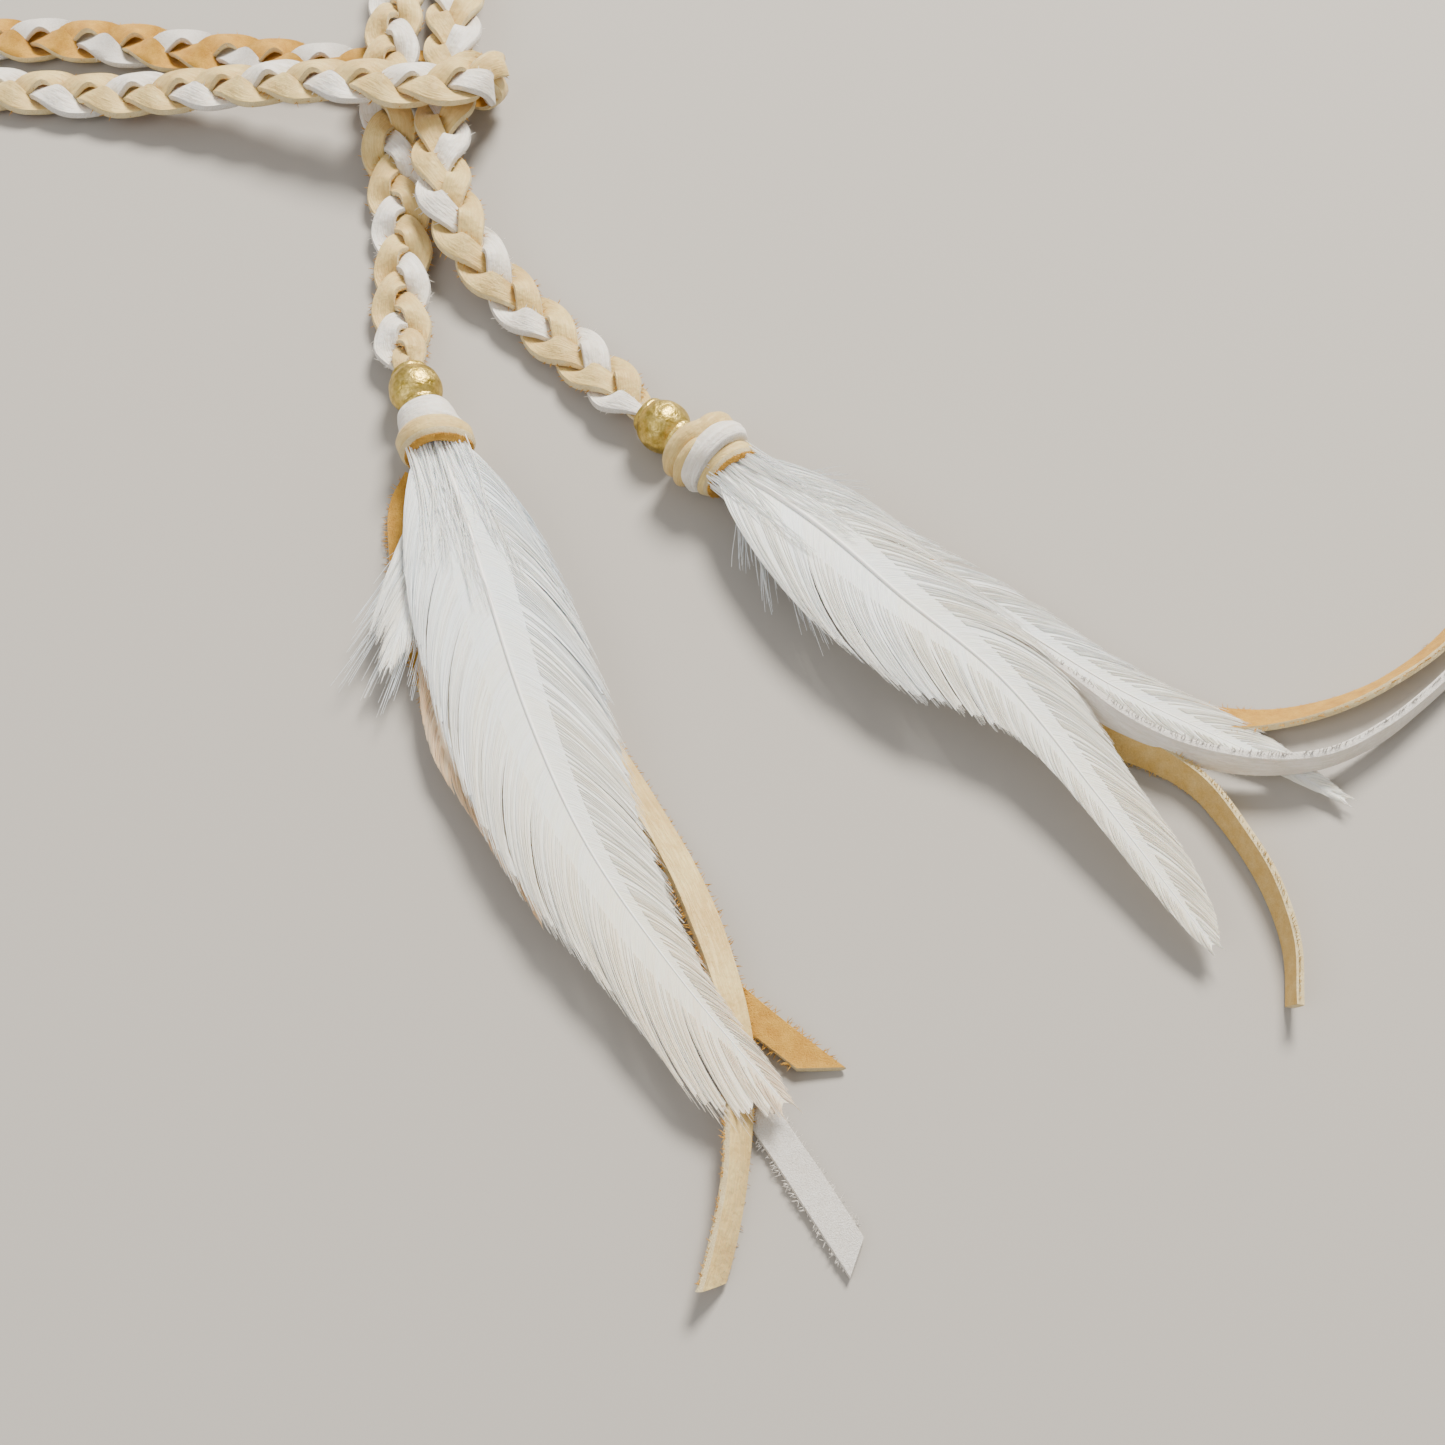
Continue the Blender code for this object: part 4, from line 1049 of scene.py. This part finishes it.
LEFT_MAIN = ((0.0, 4.6, 4.6), (0.1, 9.0, 7.5), (0.2, 11.5, 10.0), (0.35, 12.4, 12.4),
             (0.48, 12.4, 11.4), (0.62, 11.4, 8.6), (0.76, 9.2, 4.8), (0.86, 9.0, 2.8),
             (0.93, 9.0, 2.2), (0.97, 6.5, 1.8), (1.0, 1.4, 1.0))
LEFT_SIDE = ((0.0, 3.0, 3.4), (0.2, 5.0, 6.4), (0.45, 6.0, 7.0), (0.7, 5.0, 5.0), (0.9, 2.5, 2.2),
             (1.0, 0.4, 0.3))
LEFT_DOWNY = ((0.0, 4.0, 3.0), (0.3, 5.4, 4.6), (0.6, 4.6, 4.5), (0.85, 2.2, 2.4), (1.0, 0.4, 0.4))
LEFT_UNDER = ((0.0, 2.0, 2.0), (0.2, 3.2, 5.0), (0.45, 2.9, 7.0), (0.65, 2.6, 7.0),
              (0.85, 2.2, 5.0), (1.0, 0.8, 0.8))
RIGHT_FRONT = ((0.0, 4.6, 4.6), (0.1, 10.0, 8.0), (0.22, 12.2, 9.4), (0.36, 12.2, 9.4),
               (0.44, 11.6, 9.4), (0.52, 8.3, 8.8), (0.61, 4.6, 7.6), (0.68, 3.4, 6.9),
               (0.77, 2.9, 6.0), (0.86, 2.6, 5.5), (0.93, 2.2, 4.2), (0.97, 1.7, 2.8),
               (1.0, 0.9, 0.9))
RIGHT_DOWNY = ((0.0, 4.0, 4.0), (0.35, 7.5, 6.5), (0.7, 7.0, 6.0), (1.0, 1.0, 1.0))
RIGHT_UPPER = ((0.0, 4.0, 4.0), (0.15, 7.0, 6.4), (0.35, 7.0, 5.9), (0.5, 4.8, 5.2),
               (0.6, 3.3, 4.7), (0.72, 3.2, 4.6), (0.79, 2.4, 4.6), (0.86, 1.8, 3.8),
               (0.93, 1.3, 2.4), (1.0, 0.7, 0.7))


def add_left_tassel():
    knot = (LEFT_BEAD, LEFT_AXIS, "left_tassel")
    add_core("left_knot_core", *knot, LEFT_CORE_END)
    add_turn("left_knot_white", *knot, "white_leather", (
        (5.0, 3.0), (4.9, 3.9), (5.4, 4.45), (6.6, 4.7), (8.4, 5.05), (9.7, 5.35), (10.5, 5.25),
        (10.8, 4.6), (10.6, 3.2)),
        flesh_from=0, slant=0.10, lumps=0.16, seed=31)
    add_turn("left_knot_tan", *knot, "tan_leather", (
        (10.4, 3.2), (10.0, 4.8), (10.3, 5.75), (11.2, 6.2), (12.3, 6.3), (13.3, 6.1), (14.1, 5.6),
        (14.6, 4.9), (14.6, 4.2), (14.0, 3.5)),
        flesh_from=5, slant=0.14, lumps=0.22, seed=33)
    add_feather("left_main", [
        LEFT_START + UP * 7.6, (-41.2, 35.3, 7.9), (-37.1, 21.8, 7.9),
        (-28.9, -3.5, 7.2), (-19.6, -24.5, 6.6), (-6.4, -44.5, 5.9), (8.9, -63.6, 4.4)],
        LEFT_MAIN, 51, tone=(0.25, 0.7), split=0.8)
    add_feather("left_side", [
        LEFT_START + UP * 6.6, (-37.5, 32.0, 6.7), (-28.5, 14.0, 6.2),
        (-20.5, 0.0, 5.8), (-16.2, -8.0, 5.2)],
        LEFT_SIDE, 52, tone=(0.08, 0.2), quill=0.32, camber=1.0)
    add_feather("left_downy", [
        LEFT_START + UP * 5.7, (-46.3, 34.0, 5.8), (-48.6, 19.0, 5.6),
        (-51.0, 6.0, 5.3)],
        LEFT_DOWNY, 53, lean=(8, 12, 15, 14, 12), tone=(0.35, 0.4), quill=0.12, camber=1.0,
        split=1.0, hairs=5.0, fray=2.5)
    add_feather("left_under", [
        LEFT_START + UP * 4.8, (-46.4, 34.3, 4.8), (-44.5, 19.3, 4.7),
        (-41.4, -5.6, 4.2), (-32.7, -20.8, 3.9), (-25.4, -35.3, 3.6)],
        LEFT_UNDER, 54, tone=(0.5, 0.62), edge_tone=0.3, quill=0.3, camber=0.8)
    add_tufts("left_down", LEFT_START + UP * 5.4, LEFT_AXIS, [
        (-59.0, 3.4, 3.0), (-57.8, 8.4, 4.0), (-54.7, 1.6, 3.0), (-52.4, -2.7, 3.0),
        (-50.7, 1.3, 4.0), (-49.2, 7.2, 5.0), (-47.4, 1.6, 4.0), (-56.0, 14.0, 4.5),
        (-52.0, 18.0, 6.0), (-48.0, 20.0, 7.0)], 55)
    add_tufts("left_base_barbs", LEFT_START + UP * 6.6, LEFT_AXIS, [
        (-42.0, 22.0, 8.6), (-38.0, 24.0, 8.8), (-34.0, 27.0, 8.2), (-46.0, 20.0, 8.0),
        (-36.0, 14.0, 8.8), (-30.0, 20.0, 8.0)], 56, hairs=34, tone=0.35, spread=4.2, top=0.8)


def add_right_tassel():
    knot = (RIGHT_BEAD, RIGHT_AXIS, "right_tassel")
    add_core("right_knot_core", *knot, RIGHT_CORE_END)
    add_turn("right_knot_tan", *knot, "tan_leather", (
        (5.0, 3.0), (4.9, 3.9), (5.3, 4.5), (6.4, 4.8), (7.6, 4.9), (8.6, 4.7), (8.9, 3.2)),
        flesh_from=0, slant=-0.10, lumps=0.25, seed=41)
    add_turn("right_knot_white", *knot, "white_leather", (
        (8.4, 3.2), (8.3, 4.2), (8.8, 4.8), (10.2, 5.0), (11.6, 4.9), (12.3, 4.4), (12.2, 3.2)),
        flesh_from=0, slant=0.10, lumps=0.25, seed=43)
    add_turn("right_knot_end", *knot, "tan_leather", (
        (12.0, 3.2), (11.9, 4.6), (12.4, 5.2), (13.4, 5.4), (14.3, 5.2), (15.0, 4.7), (15.4, 4.1),
        (15.2, 3.4)),
        flesh_from=4, slant=0.16, lumps=0.2, seed=45)
    add_strip("right_knot_tan_roll", *knot, "tan_leather", [
        (9.6, 90, 4.6), (9.3, 118, 5.8), (9.0, 150, 6.0), (9.1, 185, 5.8), (9.4, 215, 4.6)],
        2.5, 48)
    add_strip("right_knot_tan_loop", *knot, "tan_leather", [
        (9.4, -35, 4.4), (8.9, 0, 5.8), (8.4, 35, 6.2), (8.3, 70, 6.1), (8.7, 98, 5.4),
        (9.0, 120, 4.2)], 3.3, 46)
    add_strip("right_knot_tan_cross", *knot, "tan_leather", [
        (8.6, 62, 4.4), (7.8, 88, 5.7), (7.0, 115, 6.0), (6.7, 150, 5.9), (6.8, 185, 5.4),
        (7.0, 215, 4.4)], 3.2, 49)
    add_strip("right_knot_white_crossing", *knot, "white_leather", [
        (11.5, -40, 4.4), (11.4, 0, 5.6), (11.3, 40, 6.2), (11.1, 80, 6.4), (10.9, 120, 6.2),
        (10.9, 160, 5.9), (11.0, 200, 5.0)], 3.9, 47)
    add_feather("right_front", [
        RIGHT_START + UP * 7.6, (15.7, 29.9, 8.6), (27.3, 17.6, 8.6), (42.2, 2.8, 8.0),
        (55.5, -16.4, 6.2), (70.5, -39.5, 3.6)],
        RIGHT_FRONT, 61, tone=(0.35, 0.55), fray=0.8, neat_from=0.5)
    add_feather("right_downy", [
        RIGHT_START + UP * 6.8, (9.5, 34.5, 7.3), (15.5, 25.0, 7.4)],
        RIGHT_DOWNY, 62, lean=(10, 14, 18, 16, 12), tone=(0.15, 0.25), quill=0.2, split=1.0,
        hairs=5.0, fray=2.5)
    add_feather("right_upper", [
        RIGHT_START + UP * 4.75, (20.2, 31.6, 4.6), (43.2, 16.8, 3.6), (60.6, 4.3, 2.7),
        (83.4, -8.4, 1.9), (93.4, -14.6, 1.7)],
        RIGHT_UPPER, 63, camber=1.0, tone=(0.25, 0.45), quill=0.36, fray=0.8, neat_from=0.75)
    add_tufts("right_down", RIGHT_START + UP * 6.0, RIGHT_AXIS, [
        (24.8, 39.8, 5.0), (21.1, 41.2, 6.0), (17.2, 40.8, 6.0), (14.0, 38.0, 7.5),
        (3.5, 23.8, 4.0), (6.2, 26.0, 4.5), (8.1, 16.9, 4.0), (10.8, 19.0, 4.5),
        (13.5, 12.4, 4.0), (16.5, 9.3, 4.5)], 65)
    add_tufts("right_base_barbs", RIGHT_START + UP * 6.8, RIGHT_AXIS, [
        (20.0, 34.0, 8.6), (14.0, 24.0, 8.8), (22.0, 28.0, 9.2), (11.0, 24.0, 7.6),
        (26.0, 30.0, 8.2)], 66, hairs=34, tone=0.35, spread=3.9, top=0.8)


add_camera()
add_left_laces()
add_right_laces()
add_braid()
add_bead("left_bead", LEFT_BEAD, LEFT_AXIS, 71)
add_bead("right_bead", RIGHT_BEAD, RIGHT_AXIS, 72)
add_left_tassel()
add_right_tassel()
add_stage()
